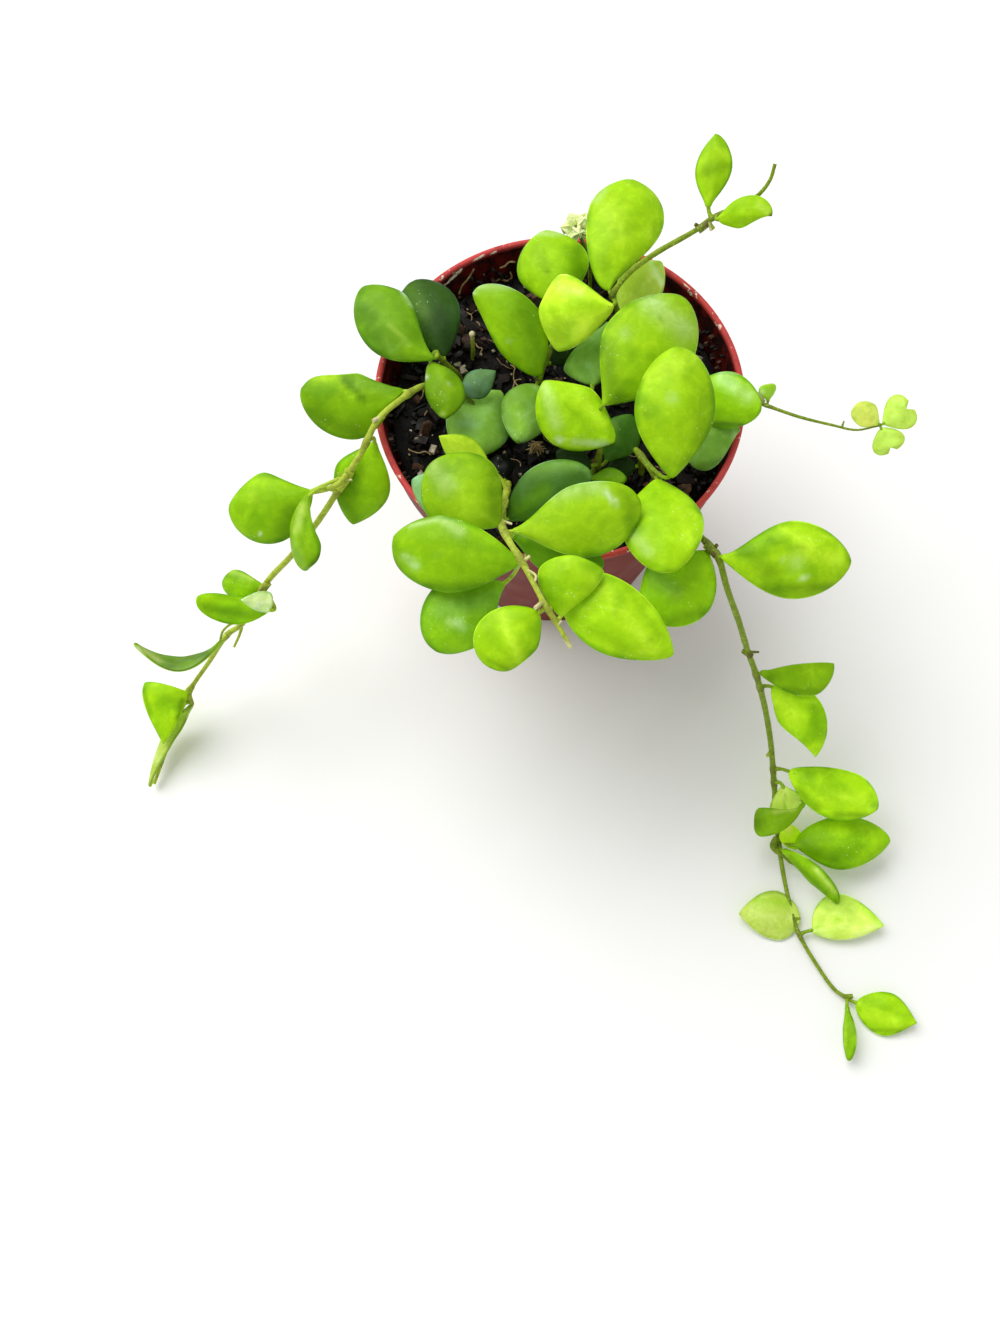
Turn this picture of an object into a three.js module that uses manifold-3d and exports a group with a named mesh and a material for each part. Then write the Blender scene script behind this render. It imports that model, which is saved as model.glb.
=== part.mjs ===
// A small wax vine in a round plastic nursery pot: leafy shoots that stand over the rim, two vines that
// arch down and trail along the table, a spent bloom and a clover that came up beside it.
// Millimetres, +Z up. The origin is the centre of the pot's foot, on the table. +X is to the right and +Y
// is away from someone who looks down on the plant.
import * as THREE from "three";
import { mergeVertices } from "three/addons/utils/BufferGeometryUtils.js";
import Module from "manifold-3d";

// The pot
const POT_HEIGHT = 90;
const RIM_RADIUS = 51;
const RIM_BEAD = 1.5;
const BAND_HEIGHT = 17;
const BAND_STEP = 2;
const BAND_FLARE = 1.2;
const FOOT_RADIUS = 32;
const WALL = 1.3;
const FLOOR = 1.6;
const POT_SIDES = 40;
const DRAIN_HOLES = 6;
const DRAIN_RADIUS = 4;
const DRAIN_CIRCLE = 23;

// The potting mix
const SOIL_LEVEL = 79;
const SOIL_BUMP = 1.1;
const SOIL_RINGS = 7;
const SOIL_SIDES = POT_SIDES / 2;
const CLEARANCE = 0.3;

// The stems and leaves
const ROOT_DEPTH = 9;
const ROOT_PLAY = 0.5;
const STEM_SIDES = 5;
const STEM_STEP = 8;
const STALK_RADIUS = 0.65;
const STALK_SIDES = 4;
const LEAF_THICKNESS = 1.3;
const EDGE_THINNING = 0.5;
const BASE_HALF = 0.8;
const TIP_HALF = 0.45;
const SMALL_LEAF = 10;
const BLADE_STATIONS = [0, 0.14, 0.33, 0.56, 0.78, 0.93, 1];

// The bloom: small closed florets round the head of its stalk
const FLORETS = 9;
const FLORET_LENGTH = 3.2;
const FLORET_RADIUS = 1.25;
const UMBEL_RADIUS = 3.4;

// Where the plant is looked at from. A place on it is given as the reference photograph shows it: pixels
// across and down its frame, and the height over the table in mm.
const PICTURE = { wide: 1000, tall: 1333, rimAcross: 559.5, rimDown: 392, sight: 1518 };
const EYE = { distance: 424, tilt: 30.4, bearing: 3 };

// Each shoot has the place of its root, the places that its stem passes, its thickness in mm, and its
// leaves. A leaf runs from the end of its stalk to its tip and is so many mm wide. It may roll about its
// length, bend towards the eye, sway to its left, cup its edges down, fold along its rib, have its widest
// place nearer one end, a neck that tapers more and a tip that is more pointed. "at" names the place on the
// stem that its stalk comes from, where that isn't the nearest.
const SHOOTS = {
  vine_left: {
    root: [452, 398],
    thick: 1.8,
    stem: [
      [446, 391, 87],
      [424, 386, 96],
      [400, 400, 101.5],
      [378, 420, 102],
      [360, 455, 96],
      [345, 478, 90],
      [334, 497, 85],
      [316, 524, 76],
      [291, 556, 64],
      [267, 582, 54],
      [242, 624, 40],
      [228, 634, 35],
      [209, 662, 25],
      [188, 694, 14],
      [171, 738, 5],
      [154, 784, 2],
    ],
    leaves: [
      { from: [404, 390, 100], to: [299, 385, 103], wide: 17.5, sway: 0.18, bend: 0.12, peak: 0.6, tip: 0.5 },
      { from: [375, 441, 94], to: [353, 524, 78], wide: 15.5, bend: 0.08, peak: 0.45, tip: 0.75 },
      { from: [312, 490, 88], to: [228, 498, 84], wide: 20, sway: 0.12, bend: 0.1, at: [346, 474, 90] },
      { from: [312, 496, 92], to: [304, 570, 84], wide: 14, roll: 58, bend: 0.1, at: [341, 491, 87] },
      { from: [263, 588, 55], to: [225, 579, 62], wide: 9, bend: 0.1, neck: 0.8, peak: 0.45 },
      { from: [270, 609, 48], to: [196, 600, 50], wide: 12, roll: -42, cup: -0.3, bend: -0.06 },
      { from: [222, 640, 36], to: [134, 643, 38], wide: 12, roll: 105, bend: -0.27, cup: -0.3, tip: 0.9 },
      {
        from: [187, 691, 15], to: [162, 744, 6],
        wide: 13.5, sway: -0.22, bend: 0.06, peak: 0.38, neck: 0.8, tip: 0.9,
      },
      { from: [193, 705, 10], to: [153, 782, 5], wide: 8, roll: 66, bend: 0.06, tip: 0.9 },
    ],
  },
  shoot_rim_left: {
    root: [462, 384],
    thick: 1.7,
    stem: [
      [455, 372, 88],
      [442, 360, 95],
      [436, 352, 99],
    ],
    leaves: [
      {
        from: [434, 359, 101], to: [362, 289, 105],
        wide: 17.5, bend: 0.1, sway: 0.02, peak: 0.56, tip: 0.45,
      },
      { from: [445, 357, 95], to: [417, 282, 97], wide: 15.8, bend: 0.1, sway: -0.06, tip: 0.45 },
      { from: [431, 364, 99], to: [458, 414, 98], wide: 10.5, bend: 0.12, neck: 0.8, tip: 0.55 },
    ],
  },
  shoot_rear: {
    root: [543, 404],
    thick: 1.7,
    stem: [
      [541, 388, 87],
      [539, 379, 91],
      [549, 352, 93],
      [562, 322, 95],
      [567, 306, 96],
    ],
    leaves: [
      { from: [543, 376, 94], to: [472, 291, 104], wide: 15.6, sway: -0.13, bend: 0.08, tip: 0.9 },
      { from: [535, 385, 91], to: [511, 440, 95], wide: 12, bend: 0.08, neck: 0.7, tip: 0.5 },
      { from: [561, 306, 99], to: [544, 231, 104], wide: 19.5, bend: 0.12, neck: 0.75, tip: 0.45 },
      { from: [549, 364, 89], to: [583, 338, 90], wide: 9, bend: 0.06 },
    ],
  },
  shoot_inner: {
    root: [486, 442],
    thick: 1.7,
    stem: [
      [482, 426, 86],
      [474, 406, 89],
      [464, 393, 91],
    ],
    leaves: [
      { from: [463, 393, 93], to: [496, 371, 95], wide: 7.5, bend: 0.06, peak: 0.4, tip: 0.9 },
      { from: [501, 392, 86], to: [460, 452, 88], wide: 17.5, bend: 0.08, neck: 0.7, tip: 0.5 },
    ],
  },
  shoot_centre: {
    root: [597, 480],
    thick: 1.8,
    stem: [
      [597, 465, 88],
      [600, 449, 95],
      [601, 425, 99],
      [602, 408, 101],
    ],
    leaves: [
      { from: [606, 446, 99], to: [540, 384, 106], wide: 16.6, sway: -0.05, bend: 0.12, neck: 0.7, tip: 0.5 },
      { from: [603, 405, 104], to: [688, 307, 110], wide: 26, bend: 0.1, sway: 0.05, neck: 0.85, tip: 0.4 },
      { from: [593, 466, 90], to: [556, 452, 92], wide: 7, bend: 0.05 },
      { from: [606, 462, 91], to: [632, 415, 97], wide: 11.5, bend: 0.08 },
      { from: [591, 478, 87], to: [627, 479, 89], wide: 6, bend: 0.08 },
      { from: [580, 388, 92], to: [606, 324, 98], wide: 13, bend: 0.08 },
    ],
  },
  shoot_upper_right: {
    root: [632, 352],
    thick: 1.5,
    stem: [
      [625, 330, 90],
      [615, 303, 106],
      [613, 294, 112],
      [630, 272, 118],
      [656, 253, 123],
      [696, 230, 130],
      [708, 221, 132],
      [732, 208, 135],
      [755, 196, 139],
      [768, 179, 143],
      [774, 164, 146],
    ],
    leaves: [
      {
        from: [608, 291, 112], to: [632, 180, 117],
        wide: 21.5, bend: 0.1, neck: 1.25, peak: 0.68, tip: 0.45,
      },
      { from: [614, 306, 111], to: [541, 310, 105], wide: 20, bend: 0.14, fold: 0.15, peak: 0.74, tip: 0.35 },
      { from: [706, 209, 134], to: [715, 135, 141], wide: 9.8, bend: 0.06, sway: -0.05, tip: 0.85 },
      { from: [716, 220, 134], to: [771, 214, 138], wide: 8, sway: 0.08, bend: 0.08, tip: 0.8 },
      { from: [620, 318, 97], to: [661, 262, 99], wide: 14, bend: 0.08, neck: 0.8 },
    ],
  },
  vine_right: {
    root: [641, 474],
    thick: 1.7,
    stem: [
      [641, 460, 87],
      [636, 450, 96],
      [650, 468, 100],
      [672, 500, 94],
      [694, 530, 93.5],
      [707, 543, 96],
      [717, 554, 97],
      [727, 588, 91],
      [739, 622, 79],
      [748, 652, 67],
      [756, 674, 58],
      [765, 708, 43],
      [771, 745, 29],
      [774, 782, 18],
      [777, 820, 9],
      [781, 860, 4],
      [790, 905, 2],
      [798, 932, 1.6],
      [820, 970, 1.6],
      [835, 990, 1.6],
      [847, 998, 1.8],
    ],
    leaves: [
      {
        from: [672, 478, 107], to: [677, 347, 119],
        wide: 20.5, bend: 0.12, neck: 0.8, tip: 0.5, at: [640, 455, 99],
      },
      { from: [657, 480, 101], to: [667, 573, 105], wide: 20.5, bend: 0.12, neck: 0.7, tip: 0.5 },
      { from: [706, 551, 95], to: [641, 610, 92], wide: 19.5, bend: 0.1, sway: 0.08, neck: 0.75, tip: 0.5 },
      { from: [720, 556, 98], to: [851, 558, 98], wide: 20, bend: 0.08, neck: 1.25, peak: 0.58, tip: 0.55 },
      { from: [758, 673, 58], to: [834, 665, 56], wide: 15, roll: 57, sway: -0.24, cup: 0.1, peak: 0.6 },
      { from: [767, 689, 52], to: [815, 757, 42], wide: 10.5, sway: 0.12, bend: 0.08, neck: 0.8, tip: 0.8 },
      {
        from: [788, 773, 24], to: [877, 806, 22],
        wide: 13.8, sway: -0.03, bend: 0.1, neck: 0.8, peak: 0.5, tip: 0.6,
      },
      { from: [794, 849, 10], to: [890, 841, 11], wide: 14.5, bend: 0.1, tip: 0.75, at: [778, 835, 7] },
      { from: [785, 787, 20], to: [757, 825, 17], wide: 10.5, sway: 0.33, roll: 25, bend: 0.1, neck: 0.6 },
      { from: [780, 829, 10], to: [796, 848, 6], wide: 5, bend: 0.05 },
      { from: [781, 852, 8], to: [838, 903, 5], wide: 7, roll: 58, bend: 0.12, sway: 0.24 },
      { from: [791, 921, 3], to: [739, 914, 3.6], wide: 13.5, bend: 0.05, neck: 0.7, tip: 0.8 },
      { from: [811, 930, 3], to: [883, 925, 4], wide: 13.5, sway: 0.14, bend: 0.05, neck: 0.75, tip: 0.85 },
      { from: [856, 1000, 2.5], to: [916, 1023, 3.5], wide: 11, bend: 0.05, neck: 0.9, tip: 0.85 },
      { from: [849, 1007, 3.4], to: [850, 1060, 4.2], wide: 6, roll: 48, bend: 0.05 },
      { from: [637, 466, 84], to: [608, 467, 84], wide: 8, bend: 0.05 },
    ],
  },
  shoot_right: {
    root: [668, 440],
    thick: 1.7,
    stem: [
      [672, 428, 88],
      [680, 412, 94],
      [687, 398, 98],
    ],
    leaves: [
      { from: [688, 388, 100], to: [761, 411, 101], wide: 15, bend: 0.1, neck: 0.8, tip: 0.5 },
      { from: [684, 453, 93], to: [740, 430, 94], wide: 15, bend: 0.08, neck: 0.8, tip: 0.5 },
    ],
  },
  shoot_front: {
    root: [506, 492],
    thick: 1.9,
    stem: [
      [508, 484, 89],
      [505, 500, 98],
      [500, 520, 104],
      [509, 541, 106.5],
      [521, 560, 107],
      [533, 582, 106.5],
      [544, 603, 105.5],
      [557, 624, 103.5],
      [569, 644, 101],
    ],
    leaves: [
      { from: [499, 526, 105], to: [429, 465, 109], wide: 22, bend: 0.12, neck: 0.8, tip: 0.42 },
      { from: [512, 531, 105], to: [635, 497, 109], wide: 18.8, bend: 0.1, neck: 1.2, peak: 0.6, tip: 0.6 },
      { from: [508, 520, 96], to: [591, 469, 99], wide: 16, bend: 0.08, sway: 0.1, neck: 0.8, tip: 0.5 },
      { from: [492, 470, 98], to: [439, 436, 103], wide: 8, bend: 0.05, tip: 0.9 },
      { from: [480, 515, 96], to: [412, 480, 98], wide: 12.5, bend: 0.08 },
      { from: [505, 481, 89], to: [497, 451, 90], wide: 9, bend: 0.05 },
      { from: [519, 564, 106], to: [393, 538, 104], wide: 19.5, bend: 0.1, neck: 1.1, tip: 0.5 },
      { from: [512, 536, 98], to: [604, 566, 97], wide: 13, bend: 0.06 },
      { from: [503, 583, 97], to: [434, 648, 90], wide: 19.5, bend: 0.1, tip: 0.45, at: [520, 560, 107] },
      { from: [538, 612, 104], to: [489, 664, 99], wide: 17.5, bend: 0.12, neck: 0.7, tip: 0.5 },
      { from: [561, 617, 103], to: [576, 556, 109], wide: 15.5, bend: 0.08, neck: 0.8, tip: 0.55 },
      { from: [564, 619, 100], to: [672, 655, 96], wide: 20.8, sway: 0.19, bend: 0.1, neck: 0.8, tip: 0.8 },
    ],
  },
  clover: {
    root: [706, 402],
    thick: 0.9,
    stem: [
      [710, 398, 84],
      [736, 396, 92.5],
      [761, 402, 95],
      [800, 414, 94],
      [835, 424, 91],
      [856, 430, 90],
      [880, 426, 91],
    ],
    leaves: [
      { from: [768, 401, 95], to: [765, 385, 99], wide: 4.5, roll: 30, bend: 0.05, tip: 0.4 },
      { from: [879, 424, 92], to: [853, 407, 96], wide: 7, bend: 0.05, cup: 0.05, tip: 0.4 },
      { from: [883, 424, 92], to: [912, 404, 96], wide: 9.5, bend: 0.05, peak: 0.62, tip: 0.3, notch: 0.22 },
      { from: [881, 428, 91], to: [891, 451, 88], wide: 8, bend: 0.05, peak: 0.62, tip: 0.3, notch: 0.22 },
    ],
  },
};

// Stalks that carry no leaf: the cut stem and the stalk of the bloom
const STUB = { root: [472, 364], thick: 1.9, stem: [[472, 346, 88], [472, 331, 95]] };
const BLOOM = { root: [590, 290], thick: 1.2, stem: [[589, 262, 89], [583, 240, 99], [578, 231, 102]] };

const radians = THREE.MathUtils.degToRad;
const vec = (x, y, z) => new THREE.Vector3(x, y, z);

// The eye's place and its three directions. The rim's centre lies where the picture shows it, and X runs
// level across the picture there.
function standpoint() {
  const rim = vec(0, 0, POT_HEIGHT);
  const tilt = radians(EYE.tilt);
  const bearing = radians(EYE.bearing);
  const toEye = vec(-Math.sin(tilt) * Math.sin(bearing), -Math.sin(tilt) * Math.cos(bearing), Math.cos(tilt));
  const eye = rim.clone().addScaledVector(toEye, EYE.distance);
  const line = toEye.clone().negate();
  const shown = vec(PICTURE.rimAcross - PICTURE.wide / 2, PICTURE.tall / 2 - PICTURE.rimDown, PICTURE.sight);
  shown.normalize();
  const share = Math.sqrt((1 - shown.x ** 2) / (1 - line.x ** 2));
  const right = vec(share, 0, 0).addScaledVector(line, shown.x - share * line.x);
  const level = line.clone().addScaledVector(right, -shown.x);
  const across = right.clone().cross(level);
  const size = level.lengthSq();
  const ahead = level.clone().multiplyScalar(shown.z / size).addScaledVector(across, -shown.y / size);
  const up = level.clone().multiplyScalar(shown.y / size).addScaledVector(across, shown.z / size);
  return { eye, right, up, ahead };
}

const VIEW = standpoint();

// The point that the picture shows at these pixels, at this height.
function seen([across, down, height]) {
  const line = VIEW.ahead
    .clone()
    .addScaledVector(VIEW.right, (across - PICTURE.wide / 2) / PICTURE.sight)
    .addScaledVector(VIEW.up, (PICTURE.tall / 2 - down) / PICTURE.sight);
  return VIEW.eye.clone().addScaledVector(line, (height - VIEW.eye.z) / line.z);
}

const wasm = await Module();
wasm.setup();

// A closed geometry as a solid that can be joined and cut.
function solidOf(geometry) {
  const bare = geometry.clone();
  bare.deleteAttribute("normal");
  bare.deleteAttribute("uv");
  const merged = mergeVertices(bare, 1e-4);
  const vertProperties = new Float32Array(merged.attributes.position.array);
  const triVerts = new Uint32Array(merged.index.array);
  return new wasm.Manifold(new wasm.Mesh({ numProp: 3, vertProperties, triVerts }));
}

function joined(solids) {
  return solids.reduce((whole, next) => whole.add(next));
}

// Solids grown together. A speck of a hollow that they close in where they meet is filled.
function grownTogether(solids) {
  const skins = joined(solids).decompose();
  return wasm.Manifold.compose(skins.filter((outer) => outer.volume() > 0));
}

// A finished node: the solid as a named mesh with its own finish.
function node(name, solid, color, roughness) {
  const made = solid.getMesh();
  const geometry = new THREE.BufferGeometry();
  geometry.setAttribute("position", new THREE.BufferAttribute(made.vertProperties, made.numProp));
  geometry.setIndex(new THREE.BufferAttribute(made.triVerts, 1));
  geometry.computeVertexNormals();
  const mesh = new THREE.Mesh(geometry, new THREE.MeshStandardMaterial({ color, roughness, metalness: 0 }));
  mesh.name = name;
  return mesh;
}

// A closed skin over rings of points, each ring with as many, from the first ring to the last.
// "turned" says on which stretch of a ring the four-cornered faces are split the other way.
function skin(rings, turned = () => false) {
  const count = rings[0].length;
  const corners = [];
  const face = (...points) => points.forEach((point) => corners.push(point.x, point.y, point.z));
  const first = rings[0];
  const last = rings[rings.length - 1];
  for (let i = 1; i < count - 1; i++) {
    face(first[0], first[i], first[i + 1]);
    face(last[0], last[i + 1], last[i]);
  }
  for (let k = 0; k < rings.length - 1; k++) {
    for (let i = 0; i < count; i++) {
      const [a, b] = [rings[k][i], rings[k][(i + 1) % count]];
      const [c, d] = [rings[k + 1][i], rings[k + 1][(i + 1) % count]];
      if (turned(i)) {
        face(b, a, d);
        face(a, c, d);
      } else {
        face(b, a, c);
        face(b, c, d);
      }
    }
  }
  const geometry = new THREE.BufferGeometry();
  geometry.setAttribute("position", new THREE.Float32BufferAttribute(corners, 3));
  return solidOf(geometry);
}

// A profile of [radius, height] turned about Z.
function turnedSolid(profile, sides) {
  const points = profile.map(([radius, height]) => new THREE.Vector2(radius, height));
  return solidOf(new THREE.LatheGeometry(points, sides).rotateX(Math.PI / 2));
}

function upright(radius, low, high, sides) {
  const geometry = new THREE.CylinderGeometry(radius, radius, high - low, sides).rotateX(Math.PI / 2);
  return geometry.translate(0, 0, (low + high) / 2);
}

// A round stem along a smooth curve.
function tube(curve, radius, sides, steps) {
  const section = new THREE.Shape();
  for (let i = 0; i < sides; i++) {
    const angle = (2 * Math.PI * i) / sides;
    const [x, y] = [radius * Math.cos(angle), radius * Math.sin(angle)];
    if (i === 0) section.moveTo(x, y);
    else section.lineTo(x, y);
  }
  section.closePath();
  return solidOf(new THREE.ExtrudeGeometry(section, { steps, extrudePath: curve, bevelEnabled: false }));
}

// The pot: a tapered wall with a stepped band under the bead of its rim, and drain holes in its floor.
const BAND_FOOT = POT_HEIGHT - BAND_HEIGHT;
const BODY_TOP = RIM_RADIUS - RIM_BEAD - BAND_STEP - BAND_FLARE;

function pot() {
  const profile = [
    [0, 0],
    [FOOT_RADIUS - 1.5, 0],
    [FOOT_RADIUS, 1.5],
    [BODY_TOP, BAND_FOOT],
    [BODY_TOP + BAND_STEP, BAND_FOOT + 0.6],
    [RIM_RADIUS - 1, POT_HEIGHT - RIM_BEAD * 1.6],
    [RIM_RADIUS, POT_HEIGHT - RIM_BEAD * 1.1],
    [RIM_RADIUS, POT_HEIGHT - RIM_BEAD * 0.4],
    [RIM_RADIUS - RIM_BEAD * 0.4, POT_HEIGHT],
    [RIM_RADIUS - RIM_BEAD * 0.9, POT_HEIGHT],
    [RIM_RADIUS - RIM_BEAD * 1.3, POT_HEIGHT - RIM_BEAD * 0.5],
    [BODY_TOP + BAND_STEP - WALL, BAND_FOOT + 1.4],
    [BODY_TOP - WALL, BAND_FOOT + 0.4],
    [FOOT_RADIUS - WALL, FLOOR + 1],
    [FOOT_RADIUS - WALL - 1, FLOOR],
    [0, FLOOR],
  ];
  let shell = turnedSolid(profile, POT_SIDES);
  for (let i = 0; i < DRAIN_HOLES; i++) {
    const angle = (2 * Math.PI * i) / DRAIN_HOLES;
    const hole = upright(DRAIN_RADIUS, -1, FLOOR + 1, 10);
    hole.translate(DRAIN_CIRCLE * Math.cos(angle), DRAIN_CIRCLE * Math.sin(angle), 0);
    shell = shell.subtract(solidOf(hole));
  }
  return shell;
}

// The potting mix fills the pot and lies in low heaps. Every stem has a hole in it.
function heap(x, y) {
  const broad = Math.sin(x / 7.5 + 1) * Math.cos(y / 6.5);
  const narrow = Math.sin(x / 4.4 - y / 5.2 + 2);
  return SOIL_LEVEL + SOIL_BUMP * (broad + 0.6 * narrow);
}

function pottingMix(roots) {
  const top = BODY_TOP + BAND_STEP - WALL - CLEARANCE;
  const levels = [
    [top, BAND_FOOT + 3],
    [BODY_TOP - WALL - CLEARANCE, BAND_FOOT + 0.9],
    [FOOT_RADIUS - WALL - CLEARANCE - 1, FLOOR + 1 + CLEARANCE],
  ];
  const ring = (radius, height) =>
    Array.from({ length: SOIL_SIDES }, (_, i) => {
      const angle = (2 * Math.PI * i) / SOIL_SIDES;
      const [x, y] = [radius * Math.cos(angle), radius * Math.sin(angle)];
      return vec(x, y, height ?? heap(x, y));
    });
  const rings = [];
  for (let k = 1; k <= SOIL_RINGS; k++) rings.push(ring(((top - 0.4) * k) / SOIL_RINGS));
  levels.forEach(([radius, height]) => rings.push(ring(radius, height)));
  const holes = roots.map(({ place, radius }) => {
    const hole = upright(radius + ROOT_PLAY, SOIL_LEVEL - ROOT_DEPTH - CLEARANCE, POT_HEIGHT, 6);
    return solidOf(hole.translate(place.x, place.y, 0));
  });
  return skin(rings).subtract(joined(holes));
}

// The curve of a stem: straight up out of its hole, then along the places that it passes.
function stemCurve({ root, stem }) {
  const foot = seen([...root, SOIL_LEVEL]);
  const low = SOIL_LEVEL - ROOT_DEPTH;
  const rooted = [vec(foot.x, foot.y, low), vec(foot.x, foot.y, low + ROOT_DEPTH / 2)];
  rooted.push(vec(foot.x, foot.y, SOIL_LEVEL + 1));
  return new THREE.CatmullRomCurve3([...rooted, ...stem.map(seen)], false, "centripetal");
}

function stepsAlong(curve) {
  return Math.ceil(curve.getLength() / STEM_STEP) + 2;
}

function stemSolid(shoot) {
  const curve = stemCurve(shoot);
  return tube(curve, shoot.thick / 2, STEM_SIDES, stepsAlong(curve));
}

// The place on a stem nearest to another place. The tube runs straight from each of its rings to the next.
function nearestOn(curve, wanted) {
  const rings = curve.getSpacedPoints(stepsAlong(curve));
  const stretches = rings.slice(1).map((ring, i) => new THREE.Line3(rings[i], ring));
  return stretches
    .map((stretch) => stretch.closestPointToPoint(wanted, true, vec(0, 0, 0)))
    .reduce((best, next) => (next.distanceTo(wanted) < best.distanceTo(wanted) ? next : best));
}

// A leaf's own frame: the place and the directions at each share of its length.
function leafShape(leaf) {
  const { from, to, wide, roll = 0, bend = 0, sway = 0, peak = 0.52, neck = 1, tip = 0.6 } = leaf;
  const base = seen(from);
  const chord = seen(to).sub(base);
  const length = chord.length();
  chord.normalize();
  const face = VIEW.eye.clone().sub(base);
  face.addScaledVector(chord, -face.dot(chord)).normalize();
  face.applyAxisAngle(chord, radians(roll));
  const side = face.clone().cross(chord);
  const rise = face.clone().multiplyScalar(bend * length).addScaledVector(side, sway * length);
  const place = (s) => base.clone().addScaledVector(chord, s * length).addScaledVector(rise, 4 * s * (1 - s));
  const frameAt = (s) => {
    const along = chord.clone().multiplyScalar(length).addScaledVector(rise, 4 - 8 * s).normalize();
    const over = face.clone().addScaledVector(along, -face.dot(along)).normalize();
    return { along, over, left: over.clone().cross(along) };
  };
  const half = (s) => {
    const rising = s < peak;
    const turn = ((Math.PI / 2) * (rising ? s : 1 - s)) / (rising ? peak : 1 - peak);
    return Math.max(rising ? BASE_HALF : TIP_HALF, (wide / 2) * Math.sin(turn) ** (rising ? neck : tip));
  };
  return { length, place, frameAt, half };
}

// A leaf blade: thickest at its rib, thinner at its edges, a closed ring of points at each station.
function blade(leaf) {
  const { cup = 0.12, fold = 0, notch = 0 } = leaf;
  const shape = leafShape(leaf);
  const across = leaf.wide < SMALL_LEAF ? [-1, 0, 1] : [-1, -0.4, 0.4, 1];
  const point = (s, u, sign) => {
    const { along, over, left } = shape.frameAt(s);
    const half = shape.half(s);
    const thick = (LEAF_THICKNESS / 2) * (1 - EDGE_THINNING * u * u);
    const drawnIn = notch * shape.length * (1 - Math.abs(u)) * Math.max(0, (s - 0.55) / 0.45) ** 2;
    return shape
      .place(s)
      .addScaledVector(left, u * half)
      .addScaledVector(over, sign * thick - half * (cup * u * u + fold * Math.abs(u)))
      .addScaledVector(along, -drawnIn);
  };
  const rings = BLADE_STATIONS.map((s) => [
    ...across.map((u) => point(s, u, 1)),
    ...across.toReversed().map((u) => point(s, u, -1)),
  ]);
  return skin(rings, (i) => i >= across.length);
}

// The stalk of a leaf, from inside the stem to inside the blade.
function stalk(leaf, curve, radius) {
  const shape = leafShape(leaf);
  const base = shape.place(0);
  const wanted = leaf.at ? seen(leaf.at) : base;
  const onStem = nearestOn(curve, wanted);
  const reach = Math.min(4, onStem.distanceTo(base) / 2);
  const bendAt = base.clone().addScaledVector(shape.frameAt(0).along, -reach);
  const path = new THREE.QuadraticBezierCurve3(onStem, bendAt, shape.place(0.08));
  return tube(path, radius, STALK_SIDES, 2);
}

function shootSolid(shoot) {
  const curve = stemCurve(shoot);
  const radius = Math.min(STALK_RADIUS, shoot.thick / 2);
  const grown = shoot.leaves.flatMap((leaf) => [blade(leaf), stalk(leaf, curve, radius)]);
  return grownTogether([stemSolid(shoot), ...grown]);
}

// The bloom: closed florets on short stalks, spread evenly round the head by the golden angle.
function bloom() {
  const curve = stemCurve(BLOOM);
  const head = curve.getPoint(1);
  const pieces = [stemSolid(BLOOM)];
  const profile = [
    [0, -FLORET_LENGTH / 2],
    [FLORET_RADIUS * 0.8, -FLORET_LENGTH * 0.3],
    [FLORET_RADIUS, 0],
    [FLORET_RADIUS * 0.6, FLORET_LENGTH * 0.35],
    [0, FLORET_LENGTH / 2],
  ];
  const up = vec(0, 0, 1);
  for (let i = 0; i < FLORETS; i++) {
    const turn = i * Math.PI * (3 - Math.sqrt(5));
    const height = 1 - (1.25 * (i + 0.5)) / FLORETS;
    const spread = Math.sqrt(1 - height * height);
    const outward = vec(spread * Math.cos(turn), spread * Math.sin(turn), height);
    const centre = head.clone().addScaledVector(outward, UMBEL_RADIUS);
    const floret = new THREE.LatheGeometry(profile.map(([x, y]) => new THREE.Vector2(x, y)), 6);
    floret.rotateX(Math.PI / 2).applyQuaternion(new THREE.Quaternion().setFromUnitVectors(up, outward));
    pieces.push(solidOf(floret.translate(centre.x, centre.y, centre.z)));
    pieces.push(tube(new THREE.LineCurve3(head, centre), 0.45, 4, 1));
  }
  return grownTogether(pieces);
}

const LEAF_GREEN = 0x7fbf1e;
const OLD_GREEN = 0x4e8a34;
const OLD_SHOOTS = ["shoot_inner", "shoot_rim_left"];

const part = new THREE.Group();
const rooted = [...Object.values(SHOOTS), STUB, BLOOM];
const roots = rooted.map(({ root, thick }) => ({ place: seen([...root, SOIL_LEVEL]), radius: thick / 2 }));
part.add(node("pot", pot(), 0x8e3a30, 0.45));
part.add(node("potting_mix", pottingMix(roots), 0x2a1d16, 0.95));
for (const [name, shoot] of Object.entries(SHOOTS)) {
  part.add(node(name, shootSolid(shoot), OLD_SHOOTS.includes(name) ? OLD_GREEN : LEAF_GREEN, 0.4));
}
part.add(node("stem_stub", stemSolid(STUB), 0x8a9a4a, 0.6));
part.add(node("bloom", bloom(), 0xe8e2a0, 0.6));

export default part;
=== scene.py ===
"""The looks of a small wax vine in a round nursery pot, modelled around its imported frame.

Blender 4.5, metres, +Z up. The pot stands on the floor at the origin. Its shoots, leaves and vines are placed
as the frame's own solids are, and each finer piece stands for the solid of the same name.
"""

import math
import random

import bpy
import numpy as np
from bpy.props import FloatProperty, FloatVectorProperty, IntProperty, PointerProperty, StringProperty
from mathutils import Matrix, Vector, noise


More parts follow.
